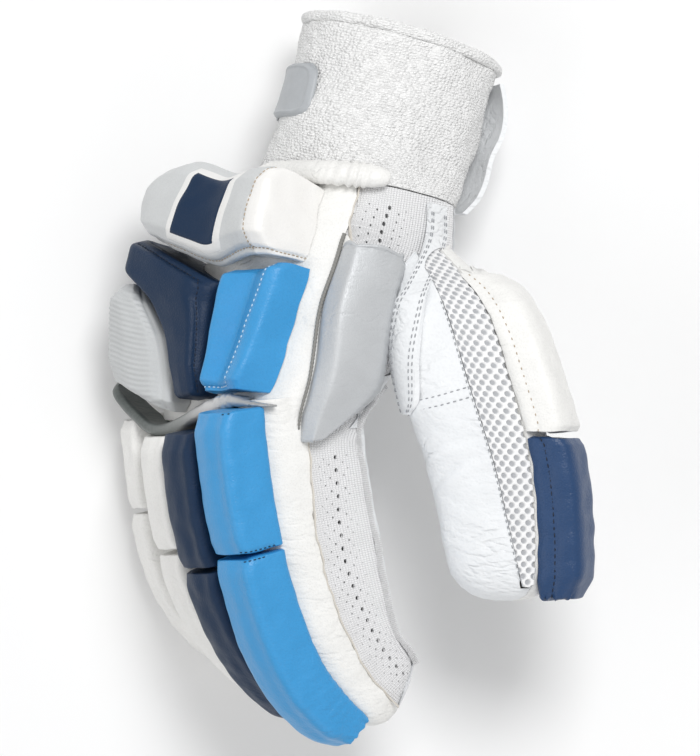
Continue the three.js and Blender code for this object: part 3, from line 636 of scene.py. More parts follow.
class Nodes:
    """A short way to write a material's node tree."""

    def __init__(self, name: str) -> None:
        """Makes an empty material with its surface shader."""
        self.material = bpy.data.materials.new(name)
        self.material.use_nodes = True
        self.tree = self.material.node_tree
        self.tree.nodes.clear()
        self.shader = self.tree.nodes.new("ShaderNodeBsdfPrincipled")
        out = self.tree.nodes.new("ShaderNodeOutputMaterial")
        self.tree.links.new(self.shader.outputs[0], out.inputs[0])

    def feed(self, socket: bpy.types.NodeSocket, value: object) -> None:
        """Links an output, or sets a plain value."""
        if isinstance(value, bpy.types.NodeSocket):
            self.tree.links.new(value, socket)
        elif isinstance(value, tuple) and len(value) == 3 and socket.type == "RGBA":
            socket.default_value = (*value, 1.0)
        else:
            socket.default_value = value

    def add(self, kind: str, inputs: dict | None = None, **settings: object) -> bpy.types.Node:
        """Adds a node with its settings and inputs."""
        made = self.tree.nodes.new(f"ShaderNode{kind}")
        for key, value in settings.items():
            setattr(made, key, value)
        for key, value in (inputs or {}).items():
            self.feed(made.inputs[key], value)
        return made

    def maths(self, operation: str, *values: object) -> bpy.types.NodeSocket:
        """The result of one sum."""
        made = self.add("Math", operation=operation)
        for socket, value in zip(made.inputs, values):
            self.feed(socket, value)
        return made.outputs[0]

    def place(self) -> bpy.types.NodeSocket:
        """Object coordinates, in metres."""
        return self.add("TexCoord").outputs["Object"]

    def stretched(self, scale: tuple, degrees: float = 0.0) -> bpy.types.NodeSocket:
        """Object coordinates turned about Z and scaled."""
        inputs = {"Vector": self.place(), "Rotation": (0, 0, math.radians(degrees)), "Scale": scale}
        return self.add("Mapping", inputs).outputs[0]

    def attribute(self, name: str) -> bpy.types.Node:
        """A mesh attribute."""
        return self.add("Attribute", attribute_name=name)

    def noise(self, size: float, detail: float = 2.0, vector: object = None) -> object:
        """Even noise whose humps are a size in millimetres apart."""
        inputs = {"Vector": vector or self.place(), "Scale": 1 / (size * MM), "Detail": detail}
        return self.add("TexNoise", inputs).outputs[0]

    def remap(self, value: object, low: float, high: float, to: tuple = (0.0, 1.0)) -> object:
        """A value moved from one range to another and held inside it."""
        inputs = {0: value, 1: low, 2: high, 3: to[0], 4: to[1]}
        return self.add("MapRange", inputs).outputs[0]

    def tint(self, share: object, low: Colour, high: Colour) -> bpy.types.NodeSocket:
        """A colour between two colours, each plain or an output."""
        made = self.add("Mix", {0: share, 6: low, 7: high}, data_type="RGBA")
        return made.outputs[2]

    def bump(self, height: object, depth: float, strength: float, after: object = None) -> object:
        """A relief of a depth in millimetres, laid over an earlier one."""
        inputs = {"Height": height, "Distance": depth * MM, "Strength": strength}
        if after is not None:
            inputs["Normal"] = after
        return self.add("Bump", inputs).outputs[0]

    def finish(self, **inputs: object) -> bpy.types.Material:
        """Sets the surface shader's inputs and gives the material."""
        for key, value in inputs.items():
            self.feed(self.shader.inputs[key.replace("_", " ")], value)
        return self.material


def shaded(colour: Colour, by: float) -> Colour:
    """A colour made lighter or darker by a factor."""
    return tuple(min(1.0, c * by) for c in colour)


@dataclass(frozen=True)
class Look(ABC):
    """What every finish has: its name, its slot in the record and its colour."""

    name: str
    slot: str
    colour: Colour

    @abstractmethod
    def material(self) -> bpy.types.Material:
        """Builds the node material."""


@dataclass(frozen=True)
class Hide(Look):
    """Finish of a leather or coated leather, with grain, creases and uneven colour."""

    roughness: float = 0.5
    grain: float = 0.9
    grain_depth: float = 0.12
    wrinkle: float = 0.25
    metallic: float = 0.0
    coat: float = 0.0
    spread: float = 0.1
    other: Colour | None = None  # colour where the tone attribute is 1
    crease: float = 0.0
    run: float = 0.0  # degrees from +X that the creases run at
    shine: float = 0.5

    def material(self) -> bpy.types.Material:
        """Builds the node material."""
        n = Nodes(self.name)
        cells = n.add("TexVoronoi", {"Vector": n.place(), "Scale": 1 / (self.grain * MM)})
        pores = n.remap(cells.outputs["Distance"], 0.0, 0.6)
        fine = n.noise(0.5, 3.0)
        broad = n.noise(14.0, 3.0)
        lines = n.noise(1.9, 3.0, n.stretched((0.32, 1.0, 1.0)))
        pleat = n.attribute("pleat").outputs["Fac"]
        depth = n.maths("MULTIPLY_ADD", pleat, 0.8, self.wrinkle)
        folds = n.maths("MULTIPLY", lines, depth)
        normal = n.bump(folds, 0.9, 0.8)
        if self.crease:
            waves = n.noise(5.5, 2.5, n.stretched((0.28, 1, 1), -self.run))
            ridge = n.maths("ABSOLUTE", n.maths("SUBTRACT", waves, 0.5))
            where = n.remap(n.noise(26.0, 1.0), 0.42, 0.62, (0.12, 1.0))
            valley = n.maths("MULTIPLY", n.remap(ridge, 0.0, 0.09), where)
            normal = n.bump(valley, 0.55 * self.crease, 0.7, normal)
        normal = n.bump(pores, self.grain_depth, 0.55, normal)
        normal = n.bump(fine, self.grain_depth * 0.7, 0.5, normal)
        shade = n.maths("MULTIPLY_ADD", broad, 0.7, n.maths("MULTIPLY", pores, 0.3))
        low, high = shaded(self.colour, 1 - self.spread), shaded(self.colour, 1 + self.spread)
        colour = n.tint(shade, low, high)
        if self.other is not None:
            colour = n.tint(n.attribute("tone").outputs["Fac"], colour, self.other)
        rough = n.remap(broad, 0.3, 0.7, (self.roughness - 0.06, self.roughness + 0.08))
        return n.finish(
            Base_Color=colour, Roughness=rough, Metallic=self.metallic, Normal=normal,
            Coat_Weight=self.coat, Coat_Roughness=0.3, Specular_IOR_Level=self.shine,
        )


@dataclass(frozen=True)
class Knitted(Look):
    """Finish of a ribbed cotton knit that reads the fabric attribute, in millimetres, with painted
    shade between the yarns.
    """

    rib: float = 1.25
    course: float = 0.85

    def material(self) -> bpy.types.Material:
        """Builds the node material."""
        n = Nodes(self.name)
        cloth = n.attribute("fabric").outputs["Vector"]
        parts = n.add("SeparateXYZ", {0: cloth})
        along, over = parts.outputs[0], parts.outputs[1]
        turn = 2 * math.pi
        rib = n.maths("SINE", n.maths("MULTIPLY", over, turn / self.rib))
        lean = n.maths("ABSOLUTE", rib)
        phase = n.maths("MULTIPLY_ADD", lean, 1.4, n.maths("MULTIPLY", along, turn / self.course))
        loop = n.maths("SINE", phase)
        wales = n.remap(rib, -1.0, 1.0)
        loops = n.remap(loop, -1.0, 1.0)
        yarn = n.maths("MULTIPLY", n.remap(rib, -1.0, 0.2, (0.35, 1.0)), loops)
        fuzz = n.noise(0.35, 3.0)
        normal = n.bump(yarn, 0.2, 0.8, n.bump(wales, 0.3, 0.8))
        normal = n.bump(fuzz, 0.08, 0.5, normal)
        # Darker where the yarn relief is low: painted shade in the knit's hollows, with some fibre
        # tone from the fuzz.
        shade = n.maths("MULTIPLY_ADD", fuzz, 0.25, n.maths("MULTIPLY", yarn, 0.9))
        colour = n.tint(n.remap(shade, 0.05, 0.6), shaded(self.colour, 0.74), self.colour)
        return n.finish(
            Base_Color=colour, Roughness=0.92, Normal=normal, Sheen_Weight=0.25,
            Sheen_Roughness=0.5,
        )


@dataclass(frozen=True)
class Pile(Look):
    """Finish of looped towelling, with painted shade between the loops."""

    def material(self) -> bpy.types.Material:
        """Builds the node material."""
        n = Nodes(self.name)
        oval = n.stretched((0.75, 1.15, 1), 20)
        cells = n.add("TexVoronoi", {"Vector": oval, "Scale": 1 / (1.25 * MM), "Randomness": 0.55})
        loops = n.remap(cells.outputs["Distance"], 0.0, 0.7, (1.0, 0.0))
        fuzz = n.noise(0.4, 4.0)
        patches = n.noise(9.0, 2.0)
        normal = n.bump(fuzz, 0.25, 0.7, n.bump(loops, 1.0, 0.9))
        # Darker between the loops: painted shade; the broad patches add uneven tone.
        shade = n.maths("MULTIPLY_ADD", loops, 0.65, n.maths("MULTIPLY", patches, 0.35))
        colour = n.tint(n.remap(shade, 0.15, 0.6), shaded(self.colour, 0.86), self.colour)
        return n.finish(
            Base_Color=colour, Roughness=0.96, Normal=normal, Sheen_Weight=0.35,
            Sheen_Roughness=0.6,
        )


@dataclass(frozen=True)
class Plain(Look):
    """Finish of thread, mesh, raw edges and rubber: an even colour with a fine fibre."""

    roughness: float = 0.7
    fibre: float = 0.4
    depth: float = 0.12
    other: Colour | None = None  # colour where the tone attribute is 1

    def material(self) -> bpy.types.Material:
        """Builds the node material."""
        n = Nodes(self.name)
        fuzz = n.noise(self.fibre, 3.0)
        broad = n.noise(self.fibre * 12, 2.0)
        shade = n.maths("MULTIPLY_ADD", fuzz, 0.5, n.maths("MULTIPLY", broad, 0.5))
        colour = n.tint(shade, shaded(self.colour, 0.82), shaded(self.colour, 1.15))
        if self.other is not None:
            colour = n.tint(n.attribute("tone").outputs["Fac"], colour, self.other)
        normal = n.bump(fuzz, self.depth, 0.7)
        return n.finish(Base_Color=colour, Roughness=self.roughness, Normal=normal)


class Finish(Enum):
    """The glove's finishes."""

    WHITE = Hide(
        "white grained leather", "white_leather", (0.83, 0.825, 0.805), 0.5, wrinkle=0.3,
        crease=0.6, run=-20.0,
    )
    SOFT = Hide(
        "soft glove leather", "white_leather", (0.82, 0.835, 0.85), 0.55, 1.3, 0.1, 0.3,
        spread=0.06, crease=1.0, run=28.0,
    )
    PEARL = Hide(
        "pearl coated leather", "pearl_leather", (0.60, 0.615, 0.62), 0.42, 0.8, 0.1, 0.18, 0.12,
        other=(0.9, 0.89, 0.87),
    )
    BLUE = Hide(
        "sky blue leather", "blue_leather", (0.04, 0.3, 0.63), 0.4, 0.8, 0.16, 0.28, coat=0.1,
        shine=0.45,
    )
    NAVY = Hide(
        "navy leather", "navy_leather", (0.009, 0.027, 0.066), 0.45, 0.7, 0.14, 0.15, shine=0.22,
    )
    INK = Hide(
        "deep blue leather", "mid_navy_leather", (0.018, 0.055, 0.145), 0.4, 0.8, 0.16, 0.3,
        shine=0.4,
    )
    SILVER = Hide(
        "silver coated leather", "silver_leather", (0.56, 0.575, 0.59), 0.54, 0.5, 0.14, 0.1, 0.35,
        crease=0.3,
    )
    STEEL = Hide(
        "dark metallic leather", "dark_metallic_leather", (0.10, 0.115, 0.11), 0.33, 0.7, 0.12,
        0.35, 0.5, other=(0.6, 0.6, 0.6),
    )
    EMBOSSED = Hide(
        "embossed grey leather", "embossed_grey", (0.56, 0.575, 0.58), 0.5, 0.5, 0.08, 0.1,
    )
    KNIT = Knitted("white ribbed knit", "white_knit", (0.93, 0.93, 0.94))
    # Its grey, used where the tone attribute is 1, is painted shade inside the mesh's holes.
    MESH = Plain(
        "white spacer mesh", "white_knit", (0.9, 0.9, 0.91), 0.85, 0.5, 0.2,
        other=(0.42, 0.43, 0.45),
    )
    TOWEL = Pile("white towelling", "towelling", (0.97, 0.97, 0.965))
    PIPING = Plain("grey piping", "grey_piping", (0.24, 0.235, 0.22), 0.5, 0.6, 0.3)
    SUEDE = Plain("raw leather edge", "white_leather", (0.66, 0.62, 0.56), 0.9, 0.5, 0.25)
    GREY_THREAD = Plain("grey thread", "white_leather", (0.36, 0.37, 0.39), 0.6, 0.2, 0.1)
    PALE_THREAD = Plain("pale blue thread", "blue_leather", (0.55, 0.72, 0.86), 0.6, 0.2, 0.1)
    DARK_THREAD = Plain("navy thread", "navy_leather", (0.006, 0.012, 0.03), 0.6, 0.2, 0.1)
    TAN_THREAD = Plain("tan thread", "white_leather", (0.45, 0.36, 0.26), 0.7, 0.2, 0.1)
    BADGE = Plain("moulded grey rubber", "grey_badge", (0.42, 0.44, 0.46), 0.45, 0.3, 0.03)

    def get(self) -> bpy.types.Material:
        """The finish's material, made once."""
        return bpy.data.materials.get(self.value.name) or self.value.material()


def dress(
    piece: bpy.types.Object, finish: Finish, nodes: Sequence[str] = (),
    angle: float = LEATHER_EDGE, slot: str | None = None,
) -> bpy.types.Object:
    """Gives a finished mesh its material and its place in the part.

    Args:
        piece: The finished mesh.
        finish: Its finish.
        nodes: Solids that it stands for.
        angle: Edges sharper than this stay crisp, in degrees.
        slot: The record's material slot, where it isn't the finish's own; not used.

    Returns:
        The piece.
    """
    piece.data.materials.clear()
    piece.data.materials.append(finish.get())
    smooth(piece, angle)
    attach(piece, ROOT)
    slot or finish.value.slot
    if nodes:
        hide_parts(*nodes)
    LOG.info("%s: %d faces", piece.name, len(piece.data.polygons))
    return piece


class StitchTree:
    """A node tree that sews stitches along the paths of a mesh."""

    NAME = "stitch run"

    @classmethod
    def get(cls) -> bpy.types.NodeTree:
        """The tree, made once."""
        return bpy.data.node_groups.get(cls.NAME) or cls._build()

    @classmethod
    def _build(cls) -> bpy.types.NodeTree:
        """Builds the tree."""
        tree = bpy.data.node_groups.new(cls.NAME, "GeometryNodeTree")
        face = tree.interface
        face.new_socket("Paths", in_out="INPUT", socket_type="NodeSocketGeometry")
        for name in ("Pitch", "Length", "Thickness"):
            face.new_socket(name, in_out="INPUT", socket_type="NodeSocketFloat")
        face.new_socket("Thread", in_out="INPUT", socket_type="NodeSocketMaterial")
        face.new_socket("Stitches", in_out="OUTPUT", socket_type="NodeSocketGeometry")
        new = tree.nodes.new
        given, result = new("NodeGroupInput"), new("NodeGroupOutput")
        curve, resample = new("GeometryNodeMeshToCurve"), new("GeometryNodeResampleCurve")
        resample.mode = "LENGTH"
        bead, tangent = new("GeometryNodeMeshUVSphere"), new("GeometryNodeInputTangent")
        bead.inputs["Segments"].default_value, bead.inputs["Rings"].default_value = 7, 5
        bead.inputs["Radius"].default_value = 0.5
        align, size = new("FunctionNodeAlignRotationToVector"), new("ShaderNodeCombineXYZ")
        align.axis = "Z"
        instance, real = new("GeometryNodeInstanceOnPoints"), new("GeometryNodeRealizeInstances")
        shade, paint = new("GeometryNodeSetShadeSmooth"), new("GeometryNodeSetMaterial")
        links = [
            (given.outputs["Paths"], curve.inputs[0]), (curve.outputs[0], resample.inputs["Curve"]),
            (given.outputs["Pitch"], resample.inputs["Length"]),
            (resample.outputs[0], instance.inputs["Points"]),
            (bead.outputs[0], instance.inputs["Instance"]),
            (tangent.outputs[0], align.inputs["Vector"]),
            (align.outputs[0], instance.inputs["Rotation"]),
            (size.outputs[0], instance.inputs["Scale"]), (instance.outputs[0], real.inputs[0]),
            (real.outputs[0], shade.inputs[0]), (shade.outputs[0], paint.inputs["Geometry"]),
            (given.outputs["Thread"], paint.inputs["Material"]),
            (paint.outputs[0], result.inputs[0]),
        ]
        for axis, name in zip("XYZ", ("Thickness", "Thickness", "Length")):
            links.append((given.outputs[name], size.inputs[axis]))
        for out, into in links:
            tree.links.new(out, into)
        return tree


@dataclass
class StitchRun:
    """Rows of stitches of one thread along paths on the surface."""

    name: str
    finish: Finish
    pitch: float
    length: float
    thickness: float
    paths: list[Array]
    slot: str | None = None

    def sew(self) -> bpy.types.Object:
        """Makes the stitches as one mesh."""
        points = (np.concatenate(self.paths) + np.array(FRAME_SHIFT)) * MM
        starts = np.cumsum([0] + [len(path) for path in self.paths])
        edges = [
            (i, i + 1) for a, b in zip(starts[:-1], starts[1:]) for i in range(a, b - 1)
        ]
        mesh = bpy.data.meshes.new(self.name)
        mesh.from_pydata(points.tolist(), edges, [])
        made = placed(self.name, mesh)
        tree = StitchTree.get()
        ids = {item.name: item.identifier for item in tree.interface.items_tree}
        modifier = made.modifiers.new("stitches", "NODES")
        modifier.node_group = tree
        sizes = (("Pitch", self.pitch), ("Length", self.length), ("Thickness", self.thickness))
        for socket, size in sizes:
            modifier[ids[socket]] = size * MM
        modifier[ids["Thread"]] = self.finish.get()
        return dress(settled(made), self.finish, angle=CLOTH_EDGE, slot=self.slot)


class Pad:
    """A foam pad lofted through rows of control points over a form.

    A control point is a place along the form, one across it and a height above it. Columns
    between two control points are numbered so that column 1.5 is half-way from the second
    control point to the third.
    """

    SHALLOW = -2.5  # height of the upper of the two rows that carry the sides down
    ROW_BLUR = 2.0  # softness of the changes between control rows, in grid rows
    EDGE_STEPS = 7  # rows of the rounded edge at each end
    PATCH = 26  # points along each side of a plate

    def __init__(
        self, place: Callable[[Array, Array, Array], Array], rows: Sequence, depth: float,
        rounding: float, end: float, spacing: float = 1.1, lengthways: int = 90,
    ) -> None:
        """Works out the pad's grid.

        Args:
            place: Turns place, distance or angle across, and height into points.
            rows: Control rows, each a list of (along, across, height).
            depth: How far below the form's surface the sides go on.
            rounding: Softness of the edges along the pad, in columns.
            end: Radius of the edges at both ends.
            spacing: Distance between columns.
            lengthways: Number of rows of the grid.
        """
        control = np.array(rows, float)
        ends = []
        for edge in (control[:, :1], control[:, -1:]):
            for height in (self.SHALLOW, -depth):
                lowered = edge.copy()
                lowered[..., 2] = np.minimum(height, edge[..., 2] - 1)
                ends.append(lowered)
        control = np.concatenate([ends[1], ends[0], control, ends[2], ends[3]], axis=1)
        spans = np.linalg.norm(np.diff(self._points(place, control), axis=1), axis=-1).mean(0)
        steps = np.maximum(2, np.round(spans / spacing)).astype(int)
        steps[[0, -1]] = 3
        column = [0.0]
        for i, count in enumerate(steps):
            column += list(i + np.arange(1, count + 1) / count)
        self.column = np.array(column) - 2
        theta = np.radians(np.linspace(0, 90, self.EDGE_STEPS))
        middle = self._points(place, control).mean(1)
        length = np.linalg.norm(np.diff(middle, axis=0), axis=1).sum()
        rim = np.minimum(end * (1 - np.cos(theta)) / length, 0.45)
        body = np.linspace(rim[-1], 1 - rim[-1], lengthways)[1:-1]
        self.u = np.concatenate([rim, body, 1 - rim[::-1]])
        points = self._points(place, self._between(control, self.u, self.column + 2))
        points = blur(blur(points, self.ROW_BLUR, 0, False), rounding, 1, True)
        self.points = points
        inset = np.zeros(len(self.u))
        inset[: len(theta)] = end * (1 - np.sin(theta))
        inset[-len(theta):] = end * (1 - np.sin(theta[::-1]))
        self.points = points - self.normals() * inset[:, None, None]

    @staticmethod
    def _points(place: Callable, control: Array) -> Array:
        """Control values as points."""
        return place(control[..., 0], control[..., 1], control[..., 2])

    @staticmethod
    def _between(control: Array, u: Array, column: Array) -> Array:
        """Control values at shares of the rows and at column numbers."""
        row = u * (len(control) - 1)
        i = np.clip(row.astype(int), 0, len(control) - 2)
        part = (row - i)[:, None, None]
        rows = control[i] * (1 - part) + control[i + 1] * part
        j = np.clip(column.astype(int), 0, control.shape[1] - 2)
        side = (column - j)[None, :, None]
        return rows[:, j] * (1 - side) + rows[:, j + 1] * side

    def normals(self) -> Array:
        """Directions out of the pad at its grid points."""
        along = np.gradient(self.points, axis=0)
        over = np.roll(self.points, -1, axis=1) - np.roll(self.points, 1, axis=1)
        out = unit(np.cross(over, along))
        middle = self.points.mean(axis=1, keepdims=True)
        if np.einsum("ijk,ijk->", out, self.points - middle) < 0:
            out = -out
        return out

    def raise_by(self, amount: Array) -> None:
        """Moves the grid points outwards by an amount for each."""
        self.points = self.points + self.normals() * amount[..., None]

    def uneven(self, size: float, amount: float, seed: int) -> "Pad":
        """Adds soft unevenness."""
        self.raise_by(ripple(self.points, size, seed) * amount)
        return self

    def where(self, u: Array | float, column: Array | float, lift: float = 0.0) -> Array:
        """Points on the pad at shares of its length and column numbers."""
        u, column = np.broadcast_arrays(np.asarray(u, float), np.asarray(column, float))
        source = self.points + self.normals() * lift
        row = np.interp(u, self.u, np.arange(len(self.u)))
        line = np.interp(column, self.column, np.arange(len(self.column)))
        i = np.clip(row.astype(int), 0, len(self.u) - 2)
        j = np.clip(line.astype(int), 0, len(self.column) - 2)
        a, b = (row - i)[..., None], (line - j)[..., None]
        near = source[i, j] * (1 - b) + source[i, j + 1] * b
        far = source[i + 1, j] * (1 - b) + source[i + 1, j + 1] * b
        return near * (1 - a) + far * a

    def seam(self, corners: Sequence[tuple[float, float]], width: float, depth: float) -> Array:
        """Draws the surface in along a line, and gives the line for stitches.

        Args:
            corners: The line's corners as (share of the length, column).
            width: Half width of the groove.
            depth: Its depth.

        Returns:
            Points along the bottom of the groove.
        """
        corners = np.array(corners, float)
        spans = [np.linspace(a, b, 40, endpoint=False) for a, b in zip(corners[:-1], corners[1:])]
        steps = np.concatenate([*spans, corners[-1:]])
        line = self.where(steps[:, 0], steps[:, 1])
        flat = self.points.reshape(-1, 3)
        near = np.full(len(flat), 1e9)
        for start in range(0, len(line), 20):
            gap = np.linalg.norm(flat[:, None] - line[None, start : start + 20], axis=-1)
            near = np.minimum(near, gap.min(1))
        self.raise_by((-depth * hump(near, 0, width)).reshape(self.points.shape[:2]))
        return self.where(steps[:, 0], steps[:, 1], 0.12)

    def pleats(
        self, centre: float, spread: float, count: float, amount: float, columns: tuple,
    ) -> None:
        """Gathers the surface into pleats round one share of the length.

        Args:
            centre: Share of the length that the pleats meet at.
            spread: How far they reach, as a share of the length.
            count: Pleats for each column number.
            amount: Their depth.
            columns: First and last column number that they show in.
        """
        mask = hump(self.u, centre, spread)[:, None]
        inside = (self.column > columns[0]) & (self.column < columns[1])
        wave = np.sin(self.column * count * 2 * math.pi + 1.3 * np.sin(self.column * 7))
        self.raise_by(mask * (wave * inside * amount)[None, :])

    def patch(self, rows: tuple, columns: tuple, slant: float, low: float, high: float) -> Solid:
        """A plate on the pad's surface.

        Args:
            rows: First and last share of the length.
            columns: First and last column number.
            slant: How far the columns move from the first row to the last.
            low: Height of the plate's underside.
            high: Height of its face.

        Returns:
            The plate.
        """
        u, column = grid(np.linspace(*rows, self.PATCH), np.linspace(*columns, self.PATCH))
        column = column + slant * (u - rows[0]) / (rows[1] - rows[0])
        x, y = grid(*[np.linspace(-1, 1, self.PATCH)] * 2)
        edge = np.maximum(np.abs(x), np.abs(y))
        top = high * np.clip((1 - edge) * 7, 0, 1) ** 0.5
        base = self.where(u, column)
        out = unit(self.where(u, column, 1.0) - base)
        return Solid.slab(base + out * np.maximum(top, 0.05)[..., None], base + out * low)

    def solid(self) -> Solid:
        """The pad as a closed solid."""
        return Solid.loft(self.points)


@dataclass(frozen=True)
class Bodies:
    """The glove's fine forms, kept while the panels and pads are cut to them."""

    outer: bpy.types.Object
    hollow: bpy.types.Object
    around: bpy.types.Object
    hand: bpy.types.Object
    thumb: bpy.types.Object
    floor: bpy.types.Object


class Skin:
    """The sewn leather and knit: one hollow form cut into its panels."""

    # Edges of the leather as (place, share of half the depth), from the back down to the palm.
    HAND_BACK = ((-0.04, 0.15), (0.0, 0.15), (0.25, 0.25), (0.5, 0.48), (0.75, 0.73), (1.08, 0.75))
    FINGER_BACK = (
        (-0.1, 0.15), (0.1, 0.15), (0.22, 0.21), (0.34, 0.28), (0.5, 0.28), (0.6, 0.25),
        (0.76, 0.2), (0.93, 0.27), (1.2, 0.27),
    )
    HAND_PALM, PALM_EDGE, DEEP = -0.75, -0.84, 1.6
    TIP_SEAM = 0.97  # where the palm leather rises to meet the back round a fingertip
    TIP_TURNS = (20, 40, 58, 72, 84)  # degrees of the rounded tip's rings
    FINGER_START, FINGER_TIP, THUMB_TIP = -0.03, 0.1, 0.12
    # Rows and columns of the coarse forms, which only cut, and of the fine ones, which show.
    STALL_GRID, HAND_GRID = ((16, 20), (90, 96)), ((14, 28), (110, 160))
    THUMB_CREASES = Table(
        "at angle spread depth lean",
        [
            [0.3, 232, 9, 1.0, 60],
            [0.38, 222, 12, 1.3, 90],
            [0.53, 215, 20, 0.9, 110],
            [0.6, 205, 16, 1.1, 70],
        ],
    )
    HOLE_PITCH, HOLE_RADIUS, HOLE_DEPTH, HOLE_CRISPNESS = 4.6, 1.1, 0.8, 12
    MESH_ROWS = (
        (-0.02, 116, 150), (0.16, 116, 162), (0.34, 116, 158), (0.55, 118, 156),
        (0.75, 121, 150), (0.88, 123, 143), (0.96, 126, 136),
    )
    BACK_ROWS = (
        (-0.1, -15, 114.5), (0.16, -15, 114.5), (0.34, -15, 114.5), (0.55, -15, 116.5),
        (0.75, -15, 119.5), (0.88, -15, 121.5), (1.1, -15, 124),
    )

    def __init__(self) -> None:
        """Makes the forms that the panels are cut from."""
        self.bodies = self._bodies()

    def _tipped(self, form: Form, grow: float, fine: bool) -> Solid:
        """A finger or the thumb, closed by a rounded tip.

        Args:
            form: The form.
            grow: Height above its surface, or below it if negative.
            fine: True for the outside that shows.

        Returns:
            The solid.
        """
        start, tip, reach = 0.0, self.THUMB_TIP, THUMB_LENGTH
        if isinstance(form, FingerForm):
            start, tip, reach = self.FINGER_START, self.FINGER_TIP, form.reach
        pull = grow / reach
        rows, columns = self.STALL_GRID[fine]
        body = np.linspace(start, 1 - tip, rows)
        turns = np.radians(self.TIP_TURNS)
        at = np.concatenate([body, 1 - tip + tip * np.sin(turns)])
        shrink = np.concatenate([np.ones(len(body)), np.cos(turns) ** 0.7])
        moved = at + pull * np.where(at < 0, -1.4, at)
        rings = form.rings(moved, columns, grow, shrink)
        if fine:
            rings = self._creased(form, rings, at)
        return Solid.loft(rings)

    def _creased(self, form: Form, rings: Array, at: Array) -> Array:
        """Adds the soft unevenness and the main creases of worn leather."""
        out = unit(rings - rings.mean(1, keepdims=True))
        amount = ripple(rings, 16.0, 3) * 0.22 + ripple(rings, 6.0, 5) * 0.1
        if form is THUMB:
            angle = (np.arange(rings.shape[1]) + 0.5) / rings.shape[1] * 360
            amount += self._thumb_folds(at[:, None], angle[None, :])
        if isinstance(form, FingerForm):
            bend = hump(at, 0.82, 0.1)[:, None]
            amount += bend * np.sin(at[:, None] * 330 + ripple(rings, 9.0, 8) * 2.5) * 0.22
        return rings + out * amount[..., None]

    def _thumb_folds(self, at: Array, angle: Array) -> Array:
        """Depth of the thumb's folds, each a curved valley beside a low hump."""
        total = np.zeros(np.broadcast_shapes(at.shape, angle.shape))
        table = self.THUMB_CREASES
        for place in table.places:
            middle, spread, depth, lean = (
                float(table.at(name, place)) for name in ("angle", "spread", "depth", "lean")
            )
            line = place + (angle - middle) / lean * 0.12
            across = (at - line) * THUMB_LENGTH
            valley = 0.7 * hump(across, 3.2, 2.2) - hump(across, 0, 1.1)
            total += depth * hump(angle, middle, spread * 1.6) * valley
        return total

    def _hand(self, grow: float, hollow: bool, fine: bool) -> Solid:
        """The hand's form, whose hollow runs out through the wrist rim."""
        rows, columns = self.HAND_GRID[fine]
        first, last = (1.1, LEATHER / HAND_LENGTH) if hollow else (1.0, 0.0)
        at = np.linspace(first, last, rows)
        rings = HAND.rings(at, columns, grow)
        return Solid.loft(self._creased(HAND, rings, at) if fine else rings)

    def _union(self, name: str, solids: Sequence[Solid]) -> bpy.types.Object:
        """Several solids joined into one object."""
        made = solids[0].object(name)
        others = [one.object("joining") for one in solids[1:]]
        cut(made, Cut.ADD, *others)
        discard(*others)
        return made

    def _forms(self, grow: float, fine: bool, hollow: bool = False) -> list[Solid]:
        """The hand, the fingers and the thumb at one growth."""
        tipped = [self._tipped(form, grow, fine) for form in (*FINGERS, THUMB)]
        return [self._hand(grow, hollow, fine), *tipped]

    def _bodies(self) -> Bodies:
        """The outside, the hollow, and what the pads are cut back to."""
        square = np.array([[[-1.0, -1, 0], [1, -1, 0]], [[-1, 1, 0], [1, 1, 0]]]) * FLOOR_HALF
        floor = Solid.slab(square, square - [0, 0, FLOOR_DEPTH])
        return Bodies(
            self._union("outer form", self._forms(0, True)),
            self._union("hollow form", self._forms(-LEATHER, False, True)),
            self._union("around form", [*self._forms(SEAM_GAP, True), floor]),
            self._hand(0.1, False, False).object("hand form"),
            self._tipped(THUMB, 1.2, False).object("thumb form"),
            floor.object("floor form"),
        )

    def _layer(self, form: Form, places: Array, low: Array, high: Array, side: float) -> Solid:
        """A layer across a form between two shares of half its depth."""
        s = form.sections(places)
        width = s.half_width + side
        corners = [(-width, low), (width, low), (width, high), (-width, high)]
        rings = np.stack([s.place(x, s.half_depth * y) for x, y in corners], 1)
        return Solid.loft(rings)

    @classmethod
    def back_edge(cls, at: Array, finger: bool) -> Array:
        """Where the back leather of the hand or a finger ends, as a share of half the depth."""
        return np.interp(at, *zip(*(cls.FINGER_BACK if finger else cls.HAND_BACK)))

    def _layers(self, back: bool, clearance: float) -> bpy.types.Object:
        """What cuts out the leather of the back, or of the palm."""
        gap = clearance / (STALL_DEPTH / 2)
        hand_at = np.linspace(1.08, -0.04, 40)
        finger_at = np.linspace(-0.06 - clearance / FINGER_LENGTH, 1.12, 90)

        def bounds(at: Array, finger: bool) -> tuple[Array, Array]:
            """Low and high edge of the layer."""
            deep = np.full(len(at), self.DEEP)
            if back:
                wave = 0.012 * np.sin(at * 61) + 0.008 * np.sin(at * 137 + 1)
                return self.back_edge(at, finger) + wave - gap, deep
            if not finger:
                return -deep, np.full(len(at), self.HAND_PALM + gap)
            seam = self.back_edge(at, True) - SEAM_GAP / (STALL_DEPTH / 2) - 0.03
            rise = np.clip((at - self.TIP_SEAM) / 0.03 + 0.5, 0, 1)
            return -deep, self.PALM_EDGE + (seam - self.PALM_EDGE) * rise + gap

        solids = [self._layer(HAND, hand_at, *bounds(hand_at, False), 3)]
        edges = bounds(finger_at, True)
        solids += [self._layer(f, finger_at, *edges, 0.9 + clearance) for f in FINGERS]
        return self._union("layer", solids)

